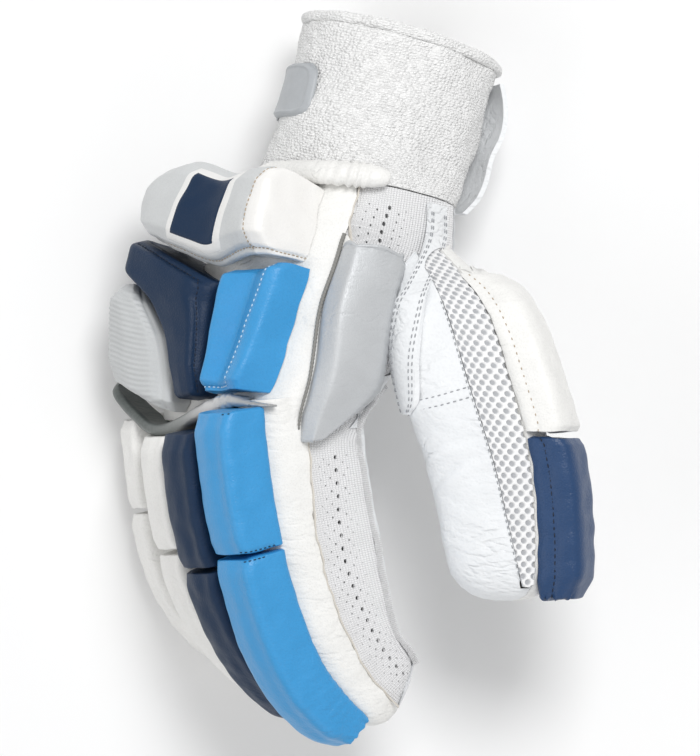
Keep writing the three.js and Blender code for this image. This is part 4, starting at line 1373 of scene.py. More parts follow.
    def _sector(self, name: str, rows: Sequence, widen: float) -> bpy.types.Object:
        """A sector of the thumb between two angles."""
        table = Table("at from to", rows)
        at = np.linspace(rows[0][0], rows[-1][0], 40)
        low, high = table.at("from", at) - widen, table.at("to", at) + widen
        share = np.linspace(0, 1, 12)
        angle = low[:, None] + (high - low)[:, None] * share
        wide = np.broadcast_to(at[:, None], angle.shape)
        rim = THUMB.surface(wide, angle, THUMB_PAD_HEIGHT / 2)
        centre = THUMB.sections(at).centre[:, None]
        return Solid.loft(np.concatenate([centre, rim], 1)).object(name)

    def build(self) -> None:
        """Cuts the panels and dresses them."""
        b = self.bodies
        skin = copied(b.outer, "skin")
        cut(skin, Cut.TAKE, b.hollow, b.floor)
        thumb_only = cut(copied(b.thumb, "thumb only"), Cut.TAKE, b.hand)
        thumb_skin = cut(copied(skin, "thumb skin"), Cut.KEEP, thumb_only)
        wide = self._tipped(THUMB, 1.6, False).object("thumb wide")
        small = self._hand(-0.25, False, False).object("hand small")
        cut(wide, Cut.TAKE, small)
        hand_skin = cut(copied(skin, "hand skin"), Cut.TAKE, wide)
        self._hand_panels(hand_skin)
        self._thumb_panels(thumb_skin)
        discard(skin, thumb_only, thumb_skin, wide, small, hand_skin)

    def _hand_panels(self, hand_skin: bpy.types.Object) -> None:
        """Back leather, palm leather and the knit between them."""
        back, back_wide, palm, palm_wide = cutters = [
            self._layers(is_back, gap) for is_back in (True, False) for gap in (0.0, SEAM_GAP)
        ]
        leather = cut(copied(hand_skin, "back_leather_panel"), Cut.KEEP, back)
        backs = [f"{finger.name}_back" for finger in FINGERS]
        dress(leather, Finish.WHITE, ["back_leather", *backs])
        front = cut(copied(hand_skin, "palm_leather_panel"), Cut.KEEP, palm)
        cut(front, Cut.TAKE, back_wide)
        fronts = [f"{finger.name}_front" for finger in FINGERS]
        dress(front, Finish.SOFT, ["palm_leather", *fronts])
        knit = cut(copied(hand_skin, "knit_sides"), Cut.TAKE, back_wide, palm_wide)
        lowered = self._union("lowered form", self._forms(-KNIT_DEPTH, True)[:-1])
        holes = KnitPattern.eyelets().object("eyelet cutter")
        cut(cut(knit, Cut.KEEP, lowered), Cut.TAKE, holes)
        vector_attribute(knit, "fabric", KnitPattern.fabric(spots(knit)))
        nodes = ["knit_gusset", "fourchette_1", "fourchette_2", "fourchette_3", "ulnar_gusset"]
        dress(knit, Finish.KNIT, nodes)
        discard(*cutters, lowered, holes)

    def _thumb_panels(self, thumb_skin: bpy.types.Object) -> None:
        """The thumb's leather, its padded back's base and the mesh strip between them."""
        gap = self._sector("mesh gap", self.MESH_ROWS, 1.0)
        base = self._sector("base", self.BACK_ROWS, 0.0)
        base_wide = self._sector("base wide", self.BACK_ROWS, 1.0)
        cut(thumb_skin, Cut.TAKE, gap)
        back = cut(copied(thumb_skin, "thumb_back_panel"), Cut.KEEP, base)
        dress(back, Finish.WHITE, ["thumb_back"])
        leather = cut(copied(thumb_skin, "thumb_leather_panel"), Cut.TAKE, base_wide)
        dress(leather, Finish.SOFT, ["thumb_leather"])
        discard(gap, base, base_wide)
        self._thumb_mesh()

    def _thumb_mesh(self) -> None:
        """The strip of spacer mesh, dimpled in staggered rows, with painted shade in the dimples.
        """
        table = Table("at from to", self.MESH_ROWS)
        at, share = grid(np.linspace(0.02, 0.955, 420), np.linspace(0, 1, 76))
        angle = table.between("from", "to", at, share)
        base = THUMB.surface(at, angle)
        width = np.linalg.norm(base[:, -1] - base[:, 0], axis=-1)[:, None] * share
        row_pitch, column_pitch = self.HOLE_PITCH * 0.5, self.HOLE_PITCH * 0.9
        row, column = travelled(base[:, 0])[:, None] / row_pitch, width / column_pitch
        gap = np.full(angle.shape, np.inf)  # to the nearest hole's middle
        for shift in (0.0, 1.0):
            x, y = (row - shift) / 2, column - shift / 2
            dx, dy = (x - np.round(x)) * self.HOLE_PITCH, (y - np.round(y)) * column_pitch
            gap = np.minimum(gap, np.hypot(dx, dy * 0.95))
        hole = 1 / (1 + np.exp((gap - self.HOLE_RADIUS) * self.HOLE_CRISPNESS))
        top = THUMB.surface(at, angle, -0.35 - self.HOLE_DEPTH * hole)
        strip = Solid.slab(top, THUMB.surface(at, angle, -1.6)).object("thumb_mesh_strip")
        cut(strip, Cut.TAKE, self.bodies.hand)
        # The tone attribute paints the dimples grey: painted shade inside the holes.
        float_attribute(strip, "tone", nearest(strip, top.reshape(-1, 3), hole.ravel() ** 2))
        dress(strip, Finish.MESH, ["thumb_mesh"])


class KnitPattern:
    """Where the knit's eyelets lie, and the fabric coordinates of the knit."""

    EYELET_SHARE = -0.22
    INDEX_RUN, WRIST_RUN = (0.17, 0.93, 20), (0.9, 0.735, 5)  # first, last and number of clusters
    INDEX_SHARES = Table(
        "at share",
        [
            [0.1, -0.3], [0.2, -0.29], [0.32, -0.22], [0.44, -0.15], [0.56, -0.17], [0.72, -0.3],
            [0.95, -0.42],
        ],
    )
    WRIST_SHARES = Table("at share", [[0.7, 0.4], [0.8, 0.42], [0.9, 0.4]])

    CLUSTER = (  # side step, step along (halves of the pitch) and radius of each hole
        (0.0, 0.0, 0.95), (0.13, 1.0, 0.5), (-0.13, 1.0, 0.5), (0.22, 0.0, 0.36),
        (-0.22, 0.0, 0.36), (0.31, 1.0, 0.26), (-0.31, 1.0, 0.26),
    )

    HAND_PLACES, INDEX_PLACES = np.linspace(1.0, 0.12, 40), np.linspace(0.06, 0.99, 80)
    OVER_STRETCH = 1.15  # makes up for the knit that turns away from the thumb side
    CHUNK = 20000  # points worked on at once

    @classmethod
    def line(cls, share: float, height: float) -> Array:
        """A line down the thumb side at one share of half the depth, from wrist to fingertip."""
        hand = HAND.flank(cls.HAND_PLACES, share, height)
        return np.concatenate([hand, INDEX.flank(cls.INDEX_PLACES, share, height)])

    @classmethod
    def back_edge(cls, height: float) -> Array:
        """The edge of the back leather down the thumb side, from wrist to fingertip."""
        shares = Skin.back_edge(cls.HAND_PLACES, False), Skin.back_edge(cls.INDEX_PLACES, True)
        hand = HAND.flank(cls.HAND_PLACES, shares[0], height)
        return np.concatenate([hand, INDEX.flank(cls.INDEX_PLACES, shares[1], height)])

    @classmethod
    def fabric(cls, points: Array) -> Array:
        """Distance along the knit and across it for each point, in millimetres."""
        line = blur(cls.line(cls.EYELET_SHARE, 0.0), 3.0, 0, False)[:, :2]
        along, ahead = travelled(line), unit(np.gradient(line, axis=0))
        out = np.zeros((len(points), 3))
        for start in range(0, len(points), cls.CHUNK):
            part = slice(start, start + cls.CHUNK)
            spot = points[part, :2]
            i = ((spot[:, None] - line[None]) ** 2).sum(-1).argmin(1)
            gap = spot - line[i]
            out[part, 0] = along[i] + (gap * ahead[i]).sum(-1)
            out[part, 1] = (ahead[i, 0] * gap[:, 1] - ahead[i, 1] * gap[:, 0]) * cls.OVER_STRETCH
        return out

    @classmethod
    def _prism(cls, at: Array, out: Array, radius: float) -> Solid:
        """A small round cutter through the knit."""
        side = unit(np.cross(out, np.array([0.0, 1.0, 0.2])))
        up = np.cross(out, side)
        c, s = radial(np.arange(7) / 7 * 360)
        ring = at + radius * (c[:, None] * side * 0.85 + s[:, None] * up)
        return Solid.loft(np.stack([ring + out * 2.5, ring - out * 2.6]))

    @classmethod
    def eyelets(cls) -> Solid:
        """Cutters for the large eyelets and for the small ones beside them."""
        made = []
        spans = (
            (INDEX, np.linspace(*cls.INDEX_RUN), cls.INDEX_SHARES),
            (HAND, np.linspace(*cls.WRIST_RUN), cls.WRIST_SHARES),
        )
        for form, places, shares in spans:
            step = (places[1] - places[0]) / 2
            for at in places:
                middle = float(shares.at("share", at))
                for share, shift, radius in cls.CLUSTER:
                    where = np.array(at + step * shift)
                    spot = form.flank(where, middle + share, -0.4)
                    out = unit(form.flank(where, middle + share, 2.0) - spot)
                    made.append(cls._prism(spot, out, radius))
        return Solid.joined(made)


class Parts(ABC):
    """Pieces of one region of the glove, cut back to its skin."""

    def __init__(self, bodies: Bodies) -> None:
        """Keeps the forms that the pieces are cut back to."""
        self.bodies = bodies

    @abstractmethod
    def build(self) -> None:
        """Builds and dresses the pieces."""

    def cover(
        self, shape: Solid, node: str, finish: Finish, *others: bpy.types.Object
    ) -> bpy.types.Object:
        """Makes a padded piece in place of its solid.

        Args:
            shape: Its uncut shape.
            node: The solid that it stands for.
            finish: Its finish.
            others: What it is cut back to beside the skin.

        Returns:
            The piece.
        """
        made = cut(shape.object(f"{node}_cover"), Cut.TAKE, self.bodies.around, *others)
        return dress(made, finish, [node], angle=PAD_EDGE)


class FingerRolls(Parts):
    """Two foam rolls over each finger."""

    ROWS = (
        (-0.01, 0.395, 0.925, Finish.BLUE),
        (0.03, 0.445, 0.94, Finish.NAVY),
        (0.09, 0.465, 0.97, Finish.WHITE),
        (0.08, 0.45, 0.97, Finish.WHITE),
    )
    NEAR = ((0, 0.84, 1), (0.14, 1, 1), (0.5, 1.02, 1), (0.9, 1, 1), (1, 0.93, 1))
    FAR = (
        (0, 0.92, 1), (0.08, 1, 1), (0.45, 1.02, 1), (0.72, 0.98, 0.97), (0.9, 0.86, 0.9),
        (1, 0.62, 0.78),
    )
    CLOSED = 0.9  # how far each roll swells into the gap

    def _rows(self, finger: FingerForm, stations: Sequence, low: float, high: float) -> list:
        """Control rows of a roll: shoulders, a dished top and a lower far side."""
        half = ROLL_WIDTH / 2 * finger.width
        rows = []
        for share, height, width in stations:
            at = low + (high - low) * share
            h, w = ROLL_HEIGHT * height, half * width
            rows.append([
                (at, -w, h - 3.0), (at, -w + 1.6, h - 0.9), (at, -w * 0.45, h - 1.4),
                (at, -w * 0.1, h + 0.2), (at, w - 3.4, h), (at, w - 0.6, h - 3.0), (at, w, h - 6.0),
            ])
        return rows

    def build(self) -> None:
        """Builds the eight rolls."""
        gap = (ROLL_GAP / 2 - self.CLOSED) / FINGER_LENGTH
        seams = []
        for finger, (start, split, end, finish) in zip(FINGERS, self.ROWS):
            for part, stations, low, high in (
                ("near", self.NEAR, start, split - gap), ("far", self.FAR, split + gap, end),
            ):
                rows = self._rows(finger, stations, low, high)
                pad = Pad(finger.deck, rows, 4.5, rounding=1.7, end=2.0)
                pad.uneven(11.0, 0.18, 20 + len(finger.name))
                if finger is INDEX:
                    seams += self._details(pad, part)
                roll = self.cover(pad.solid(), f"{finger.name}_roll_{part}", finish)
                self._pleat_mask(roll, finger, part)
        StitchRun(
            "roll_stitches_blue", Finish.DARK_THREAD, 1.9, 1.2, 0.5, seams, "blue_leather"
        ).sew()

    @staticmethod
    def _details(pad: Pad, part: str) -> list[Array]:
        """Gives an index roll its short seams and pleats.

        Args:
            pad: The roll.
            part: Near or far.

        Returns:
            The seams, for stitches.
        """
        if part == "near":
            return [
                pad.seam([(0.965, -0.75), (0.965, 0.1), (0.95, 1.2)], 0.9, 0.5),
                pad.seam([(0.03, 0.4), (0.035, 1.4)], 0.8, 0.35),
            ]
        seam = pad.seam([(0.03, -0.4), (0.03, 1.0)], 0.9, 0.45)
        pad.pleats(0.97, 0.06, 3.1, 0.4, (-1.7, 1.5))
        wave = np.sin(pad.u * 150 + 1.1 * np.sin(pad.u * 23))[:, None]
        mask = hump(pad.u, 0.66, 0.2)[:, None]
        side = np.clip((0.6 - pad.column) / 1.4, 0, 1)[None, :]
        pad.raise_by(0.14 * wave * mask * side)
        return [seam]

    @staticmethod
    def _pleat_mask(roll: bpy.types.Object, finger: FingerForm, part: str) -> None:
        """Marks where fine wrinkles gather: the outer bend and the tip."""
        points = spots(roll)
        tip = finger.sections(np.array(1.0)).centre
        gap = np.linalg.norm(points - tip, axis=1)
        amount = np.clip((62 - gap) / 40, 0, 1) if part == "far" else np.zeros(len(points))
        float_attribute(roll, "pleat", amount)


class HandPads(Parts):
    """Pads, strip and wrist roll on the back of the hand."""

    STRIP = Table(
        "s at across height radius tone",
        [
            [0.0, 0.12, 66, 4.0, 0.5, 0.3], [0.06, 0.085, 63, 6.0, 1.9, 0.1],
            [0.13, 0.045, 53, 6.0, 2.3, 0.0], [0.22, 0.01, 41, 6.0, 2.4, 0.0],
            [0.31, -0.02, 29.5, 6.0, 2.5, 0.0], [0.38, -0.03, 20.5, 6.0, 2.5, 0.05],
            [0.46, -0.025, 11, 6.0, 2.5, 0.15], [0.55, 0.0, -0.5, 6.0, 2.6, 0.35],
            [0.63, 0.025, -9.5, 6.2, 2.9, 0.7], [0.71, 0.045, -18.5, 6.4, 3.1, 1.0],
            [0.79, 0.06, -28, 6.0, 2.7, 0.9], [0.88, 0.055, -38, 5.0, 1.5, 0.8],
            [0.95, 0.05, -46, 2.5, 0.9, 0.7], [1.0, 0.05, -50, 0.3, 0.4, 0.7],
        ],
    )
    LOW = ((0.585, 0.565, 0.57, 0.515, 0.58, 0.635, 0.68, 0.71), (-31, -27, -14, 7, 30, 45, 55, 60))
    TOP = (
        (0.93, 1.01, 1.02, 0.985, 1.06, 1.02, 0.93, 0.88),
        (-22, -20.5, -9.5, 9.5, 31.5, 45, 54.5, 60),
    )
    CREST = (-0.4, 0.95, 1, 0.8, 1.05, 1, 0.8, 0.2)
    SUNK = ((0, 0.55), (0.08, 0.2), (0.2, 0.03), (0.5, 0), (0.8, 0.03), (0.93, 0.2), (1, 0.5))
    END_SEAM = ((0.1, 0.4, 0.7, 0.98), (1.75, 1.7, 1.5, 1.3))

    @staticmethod
    def _between(start: tuple, end: tuple, shares: Sequence, heights: Sequence) -> list:
        """A control row between two ends given as (along, across)."""
        (at, across), (to_at, to_across) = start, end
        return [
            (
                at + (to_at - at) * share, across + (to_across - across) * share,
                height * BACK_PAD_HEIGHT,
            )
            for share, height in zip(shares, heights)
        ]

    def build(self) -> None:
        """Builds every pad of the back of the hand."""
        self._navy()
        self._blue()
        self._grey()
        self._strip()
        self._wrist()

    def _navy(self) -> None:
        """The tapering navy pad, with a sewn edge along its top and inner side."""
        shares = (0, 0.07, 0.14, 0.5, 0.9, 1)
        rows = [
            ((0.475, 7), (0.68, 61), (0.4, 0.5, 0.6, 0.65, 0.6, 0.3)),
            ((0.43, 7), (0.645, 63.5), (0.55, 0.8, 1.0, 1.05, 1.0, 0.5)),
            ((0.385, 6.5), (0.51, 62), (0.55, 0.8, 1.0, 1.05, 1.0, 0.5)),
            ((0.34, 5), (0.4, 41), (0.55, 0.8, 0.98, 1, 0.95, 0.6)),
            ((0.25, 2), (0.28, 26.5), (0.55, 0.8, 0.98, 1, 0.95, 0.6)),
            ((0.15, -2), (0.16, 16.5), (0.55, 0.8, 0.98, 1, 0.95, 0.6)),
            ((0.07, -6.5), (0.06, 9), (0.3, 0.5, 0.68, 0.75, 0.7, 0.3)),
        ]
        control = [self._between(a, b, shares, h) for a, b, h in rows]
        pad = Pad(HAND.deck, control, 20, rounding=1.5, end=2.2).uneven(13, 0.15, 31)
        edge = pad.seam([(0.1, 4.0), (0.1, 1.4), (0.2, 1.0), (0.97, 1.0)], 0.9, 0.7)
        StitchRun("navy_pad_stitches", Finish.DARK_THREAD, 2.0, 1.4, 0.55, [edge]).sew()
        self.cover(pad.solid(), "hand_pad_navy", Finish.NAVY)

    def _blue(self) -> None:
        """The blue pad, with a sewn ridge beside a soft valley."""
        rows = [
            ((0.56, -32.5), (0.515, 0.5), 0.17, (-0.5, 0.3, 0.48, 0.42, 0.3, 0.5, 0.4)),
            ((0.52, -33.5), (0.48, 1.5), 0.18, (-0.4, 0.62, 0.85, 0.76, 0.5, 0.92, 0.6)),
            ((0.3, -35), (0.27, -2), 0.24, (-0.35, 0.75, 0.88, 0.78, 0.5, 0.95, 0.6)),
            ((0.12, -37.5), (0.115, -7), 0.3, (-0.3, 0.9, 0.92, 0.82, 0.62, 0.95, 0.6)),
            ((0.087, -38), (0.08, -9), 0.3, (-0.3, 0.65, 0.66, 0.58, 0.42, 0.6, 0.4)),
        ]
        control = [
            self._between(a, b, (0, 0.05, ridge, ridge + 0.06, ridge + 0.32, 0.88, 1), h)
            for a, b, ridge, h in rows
        ]
        pad = Pad(HAND.deck, control, 20, rounding=1.5, end=2.4).uneven(12, 0.15, 33)
        edge = pad.seam([(0.1, 2.25), (0.5, 2.25), (0.9, 2.25), (0.9, 5.4)], 0.8, 0.55)
        StitchRun("blue_pad_stitches", Finish.PALE_THREAD, 2.1, 1.2, 0.6, [edge]).sew()
        self.cover(pad.solid(), "hand_pad_blue", Finish.BLUE)

    def _grey(self) -> None:
        """The grey pad, embossed with generic ripples inside a plain border."""
        shares = (0, 0.15, 0.5, 0.86, 1)
        rows = [
            ((0.48, 57), (0.475, 62), (0.2, 0.5, 0.5, 0.5, 0.2)),
            ((0.385, 42.5), (0.39, 65), (0.6, 1, 1.05, 0.95, 0.4)),
            ((0.265, 29), (0.275, 66), (0.6, 1, 1.1, 0.95, 0.4)),
            ((0.145, 19.5), (0.18, 66), (0.6, 1, 1.1, 0.95, 0.4)),
            ((0.055, 12.5), (0.12, 62), (0.6, 0.95, 1, 0.8, 0.3)),
            ((0.02, 13.5), (0.09, 50), (0.3, 0.5, 0.55, 0.4, 0.2)),
        ]
        control = [self._between(a, b, shares, h) for a, b, h in rows]
        pad = Pad(HAND.deck, control, 22, rounding=1.7, end=2.4, spacing=0.55, lengthways=170)
        spot = pad.points
        wave = np.sin(spot[..., 1] * 3.1 + 3.0 * np.sin(spot[..., 2] * 0.16) + spot[..., 0] * 0.5)
        beads = 0.6 + 0.4 * np.sin(spot[..., 2] * 4.2 + spot[..., 0] * 2.0)
        u, c = pad.u[:, None], pad.column[None, :]
        inside = np.clip((c - 0.55) * 6, 0, 1) * np.clip((3.9 - c) * 6, 0, 1)
        inside = inside * np.clip((u - 0.07) * 30, 0, 1) * np.clip((0.93 - u) * 30, 0, 1)
        border = hump(c, 0.42, 0.09) * (u > 0.05) * (u < 0.95)
        pad.raise_by(0.26 * wave * beads * inside - 0.5 * border)
        self.cover(pad.solid(), "hand_pad_grey", Finish.EMBOSSED)

    def _strip(self) -> None:
        """The metallic cord that runs in a shallow V across the knuckles."""
        s = np.linspace(0, 1, 300)
        at, across, height, radius, tone = (
            self.STRIP.at(c, s) for c in ("at", "across", "height", "radius", "tone")
        )
        path = HAND.deck(at, across, height)
        out = HAND.sections(at).back
        side = unit(np.cross(unit(np.gradient(path, axis=0)), out))
        crinkle = 1 + 0.07 * np.sin(s * 150 + 2 * np.sin(s * 41)) * np.clip((s - 0.6) * 6, 0, 1)
        c, d = radial(np.linspace(-25, 205, 27))
        flat = np.interp(s, (0.5, 0.7, 0.85), (1.0, 0.75, 1.0))
        wide = (radius * crinkle)[:, None, None]
        dome = wide * (c[:, None] * side[:, None] + flat[:, None, None] * d[:, None] * out[:, None])
        half = side * radius[:, None] * 0.8
        foot = np.stack([path - half, path + half], 1)
        foot = foot - out[:, None] * (height + 3)[:, None, None]
        rings = np.concatenate([path[:, None] + dome, foot], 1)
        made = self.cover(Solid.loft(rings), "knuckle_strip", Finish.STEEL)
        float_attribute(made, "tone", nearest(made, path, tone))

    def _wrist(self) -> None:
        """The wrist roll, with its sewn end panel and a plain slanted plate."""
        low, top = np.array(self.LOW), np.array(self.TOP)
        rows = []
        for share, sunk in self.SUNK:
            at, across = low + (top - low) * share
            height = (np.array(self.CREST) + 0.4 * share - sunk) * WRIST_ROLL_HEIGHT
            rows.append(list(zip(at, across, height)))
        pad = Pad(HAND.deck, rows, 22, rounding=2.6, end=2.5, spacing=1.2, lengthways=110)
        pad.uneven(15, 0.3, 41)
        seams = [
            pad.seam(list(zip(*self.END_SEAM)), 1.0, 0.7),
            pad.seam([(0.1, 0.3), (0.1, 3.0), (0.1, 6.4)], 1.1, 0.8),
        ]
        tan, slot = Finish.TAN_THREAD, Finish.PEARL.value.slot
        StitchRun("wrist_roll_stitches", tan, 1.9, 1.3, 0.5, seams, slot).sew()
        self._emblem(pad)
        panel = pad.column[None, :] < np.interp(pad.u, *self.END_SEAM)[:, None]
        cutters = [one.object("cutter") for one in (BandParts.around(), BandParts.rim(SEAM_GAP))]
        made = self.cover(pad.solid(), "wrist_roll", Finish.PEARL, *cutters)
        discard(*cutters)
        tone = nearest(made, pad.points.reshape(-1, 3), panel.astype(float).ravel())
        float_attribute(made, "tone", tone)

    def _emblem(self, pad: Pad) -> None:
        """A plain slanted plate, raised on the wrist roll inside a low outline."""
        plate = pad.patch((0.28, 0.74), (2.75, 3.9), -0.28, -0.6, 0.7)
        dress(plate.object("wrist_roll_emblem"), Finish.NAVY)
        border = pad.patch((0.2, 0.82), (2.63, 4.02), -0.34, -0.6, 0.5)
        outline = border.object("wrist_roll_emblem_outline")
        float_attribute(outline, "tone", np.full(len(outline.data.vertices), 0.75))
        dress(outline, Finish.PEARL)


class BandParts:
    """Forms of the wristband and of the rim that others are cut back to."""

    RIM_RADIUS, RIM_FIRST, RIM_LAST = 5.2, 62, 156  # millimetres, degrees and degrees
    CUTTER_PLACES, CUTTER_COLUMNS = np.linspace(0.25, 1.1, 12), 64

    @staticmethod
    def share(millimetres: float) -> float:
        """A place past the wrist rim, as a share of the hand's length."""
        return 1 + millimetres / HAND_LENGTH

    @classmethod
    def tube(cls, first: float, grow: float) -> Solid:
        """A plain form from millimetres past the hand's rim through the wristband."""
        start = HAND.rings(np.array([cls.share(first)]), cls.CUTTER_COLUMNS, grow)
        rest = BAND.rings(cls.CUTTER_PLACES, cls.CUTTER_COLUMNS, grow)
        return Solid.loft(np.concatenate([start, rest]))

    @classmethod
    def around(cls) -> Solid:
        """The wristband's outside with its clearance."""
        return cls.tube(0.0, SEAM_GAP)

    @classmethod
    def rim(cls, grow: float) -> Solid:
        """The padded rim round the back of the wrist opening."""
        angles = np.linspace(cls.RIM_FIRST, cls.RIM_LAST, 150)
        at = np.full(len(angles), cls.share(2.6))
        centre = HAND.surface(at, angles, 3.2)
        out = unit(HAND.surface(at, angles, 6.0) - centre)
        ahead = unit(HAND.surface(np.full(len(angles), cls.share(6)), angles, 3.2) - centre)
        ease = np.clip(np.minimum(angles - angles[0], angles[-1] - angles) / 12, 0, 1)
        radius = cls.RIM_RADIUS * (0.45 + 0.55 * ease**0.5) + grow
        if grow == 0.0:
            fold = np.sin(angles * 1.3 + 1.5 * np.sin(angles * 0.31))
            radius = radius + (0.55 * hump(angles, 138, 9) + 0.06) * fold * ease
        c, s = radial(np.arange(28) / 28 * 360)
        turn = c[None, :, None] * out[:, None] + s[None, :, None] * ahead[:, None]
        return Solid.loft(centre[:, None] + radius[:, None, None] * turn)


class Wristband(Parts):
    """The towelling wristband with its hem, badge, closure tab and padded rim."""

    BADGE = Table("at first last", [[0.29, 44, 90], [0.35, 40, 94], [0.61, 40, 92], [0.67, 44, 86]])
    TAB_LIFT = Table("at lift", [[0.06, 2.5], [0.2, 6.0], [0.4, 5.5], [0.72, 6.5], [0.93, 1.2]])
    TAB_RISE = Table("angle rise", [[232, 1.0], [243, 0.6], [258, 0.15], [285, 0.0]])
    HEM_MIDDLE, HEM_HALF = 1.0085, 0.0365  # shares of the wristband's length
    COLUMNS = 300  # points round the towelling

    def build(self) -> None:
        """Builds the wristband's parts."""
        self._towel()
        around = BandParts.around().object("band around")
        self._badge(around)
        self._tab(around)
        rim = BandParts.rim(0.0).object("wrist_rim_cover")
        cut(rim, Cut.TAKE, around, self.bodies.around)
        dress(rim, Finish.WHITE, ["wrist_rim"], angle=PAD_EDGE)
        discard(around)

    def _pile(self, rings: Array, amount: float, seed: int) -> Array:
        """Raises loops of pile on rings of points."""
        draw = np.random.default_rng(seed)
        loops = draw.normal(size=rings.shape[:2])
        loops = (blur(blur(loops[..., None], 0.7, 0, False), 0.7, 1, True))[..., 0]
        out = unit(rings - rings.mean(1, keepdims=True))
        soft = ripple(rings, 30.0, seed) * 0.9 + ripple(rings, 9.0, seed + 1) * 0.25
        return rings + out * (amount * loops * 2 + soft)[..., None]

    def _towel(self) -> None:
        """The towelling tube and the rolled hem round its mouth."""
        inner = BandParts.tube(-6.0, -TOWELLING).object("inside")
        inside_and_floor = (inner, self.bodies.floor)
        start = HAND.rings(np.array([BandParts.share(0.6)]), self.COLUMNS)
        keep = BAND.rings(np.linspace(0.28, 0.9705, 100), self.COLUMNS)
        t = np.linspace(0, 1, 30)[1:-1, None, None]
        joint = start * (1 - t) + keep[:1] * t
        rings = self._pile(np.concatenate([start, joint, keep]), 0.13, 51)
        band = cut(Solid.loft(rings).object("wristband_towelling"), Cut.TAKE, *inside_and_floor)
        dress(band, Finish.TOWEL, ["wristband"], angle=CLOTH_EDGE)
        turn = np.linspace(-90, 90, 13)
        at = self.HEM_MIDDLE + self.HEM_HALF * np.sin(np.radians(turn))
        hem_rings = np.concatenate([
            BAND.rings(np.array([a]), self.COLUMNS, 1.6 * float(np.cos(np.radians(d))) - 0.3)
            for a, d in zip(at, turn)
        ])
        hem = Solid.loft(self._pile(hem_rings, 0.12, 53)).object("wristband_hem_towelling")
        cut(hem, Cut.TAKE, *inside_and_floor)
        dress(hem, Finish.TOWEL, ["wristband_hem"], angle=CLOTH_EDGE)
        discard(inner)

    def _badge(self, around: bpy.types.Object) -> None:
        """A moulded badge with a raised border round a plain face."""
        at, share = grid(np.linspace(0.29, 0.67, 90), np.linspace(0, 1, 120))
        angle = self.BADGE.between("first", "last", at, share)
        x, y = grid(np.linspace(-1, 1, 90), np.linspace(-1, 1, 120))
        edge = (np.abs(x) ** 5 + np.abs(y) ** 5) ** 0.2
        face = np.clip((1.0 - edge) * 14, 0, 1) ** 0.5
        height = 0.8 + 1.2 * face + 0.5 * hump(edge, 0.86, 0.05)
        made = Solid.slab(BAND.surface(at, angle, height), BAND.surface(at, angle, -1.0))
        badge = cut(made.object("wristband_badge_plate"), Cut.TAKE, around)
        dress(badge, Finish.BADGE, ["wristband_badge"])

    def _tab(self, around: bpy.types.Object) -> None:
        """The closure tab, which lifts off along its free edge."""
        at, angle = grid(np.linspace(0.06, 0.93, 70), np.linspace(232, 285, 60))
        rise = self.TAB_RISE.at("rise", angle)
        raised = self.TAB_LIFT.at("lift", at) * rise
        wave = 0.25 * np.sin(at * 23) * rise
        top, low = 0.6 + LEATHER + raised + wave, 0.6 + raised + wave
        made = Solid.slab(BAND.surface(at, angle, top), BAND.surface(at, angle, low))
        tab = cut(made.object("closure_tab_leather"), Cut.TAKE, around, self.bodies.around)
        dress(tab, Finish.SOFT, ["closure_tab"])


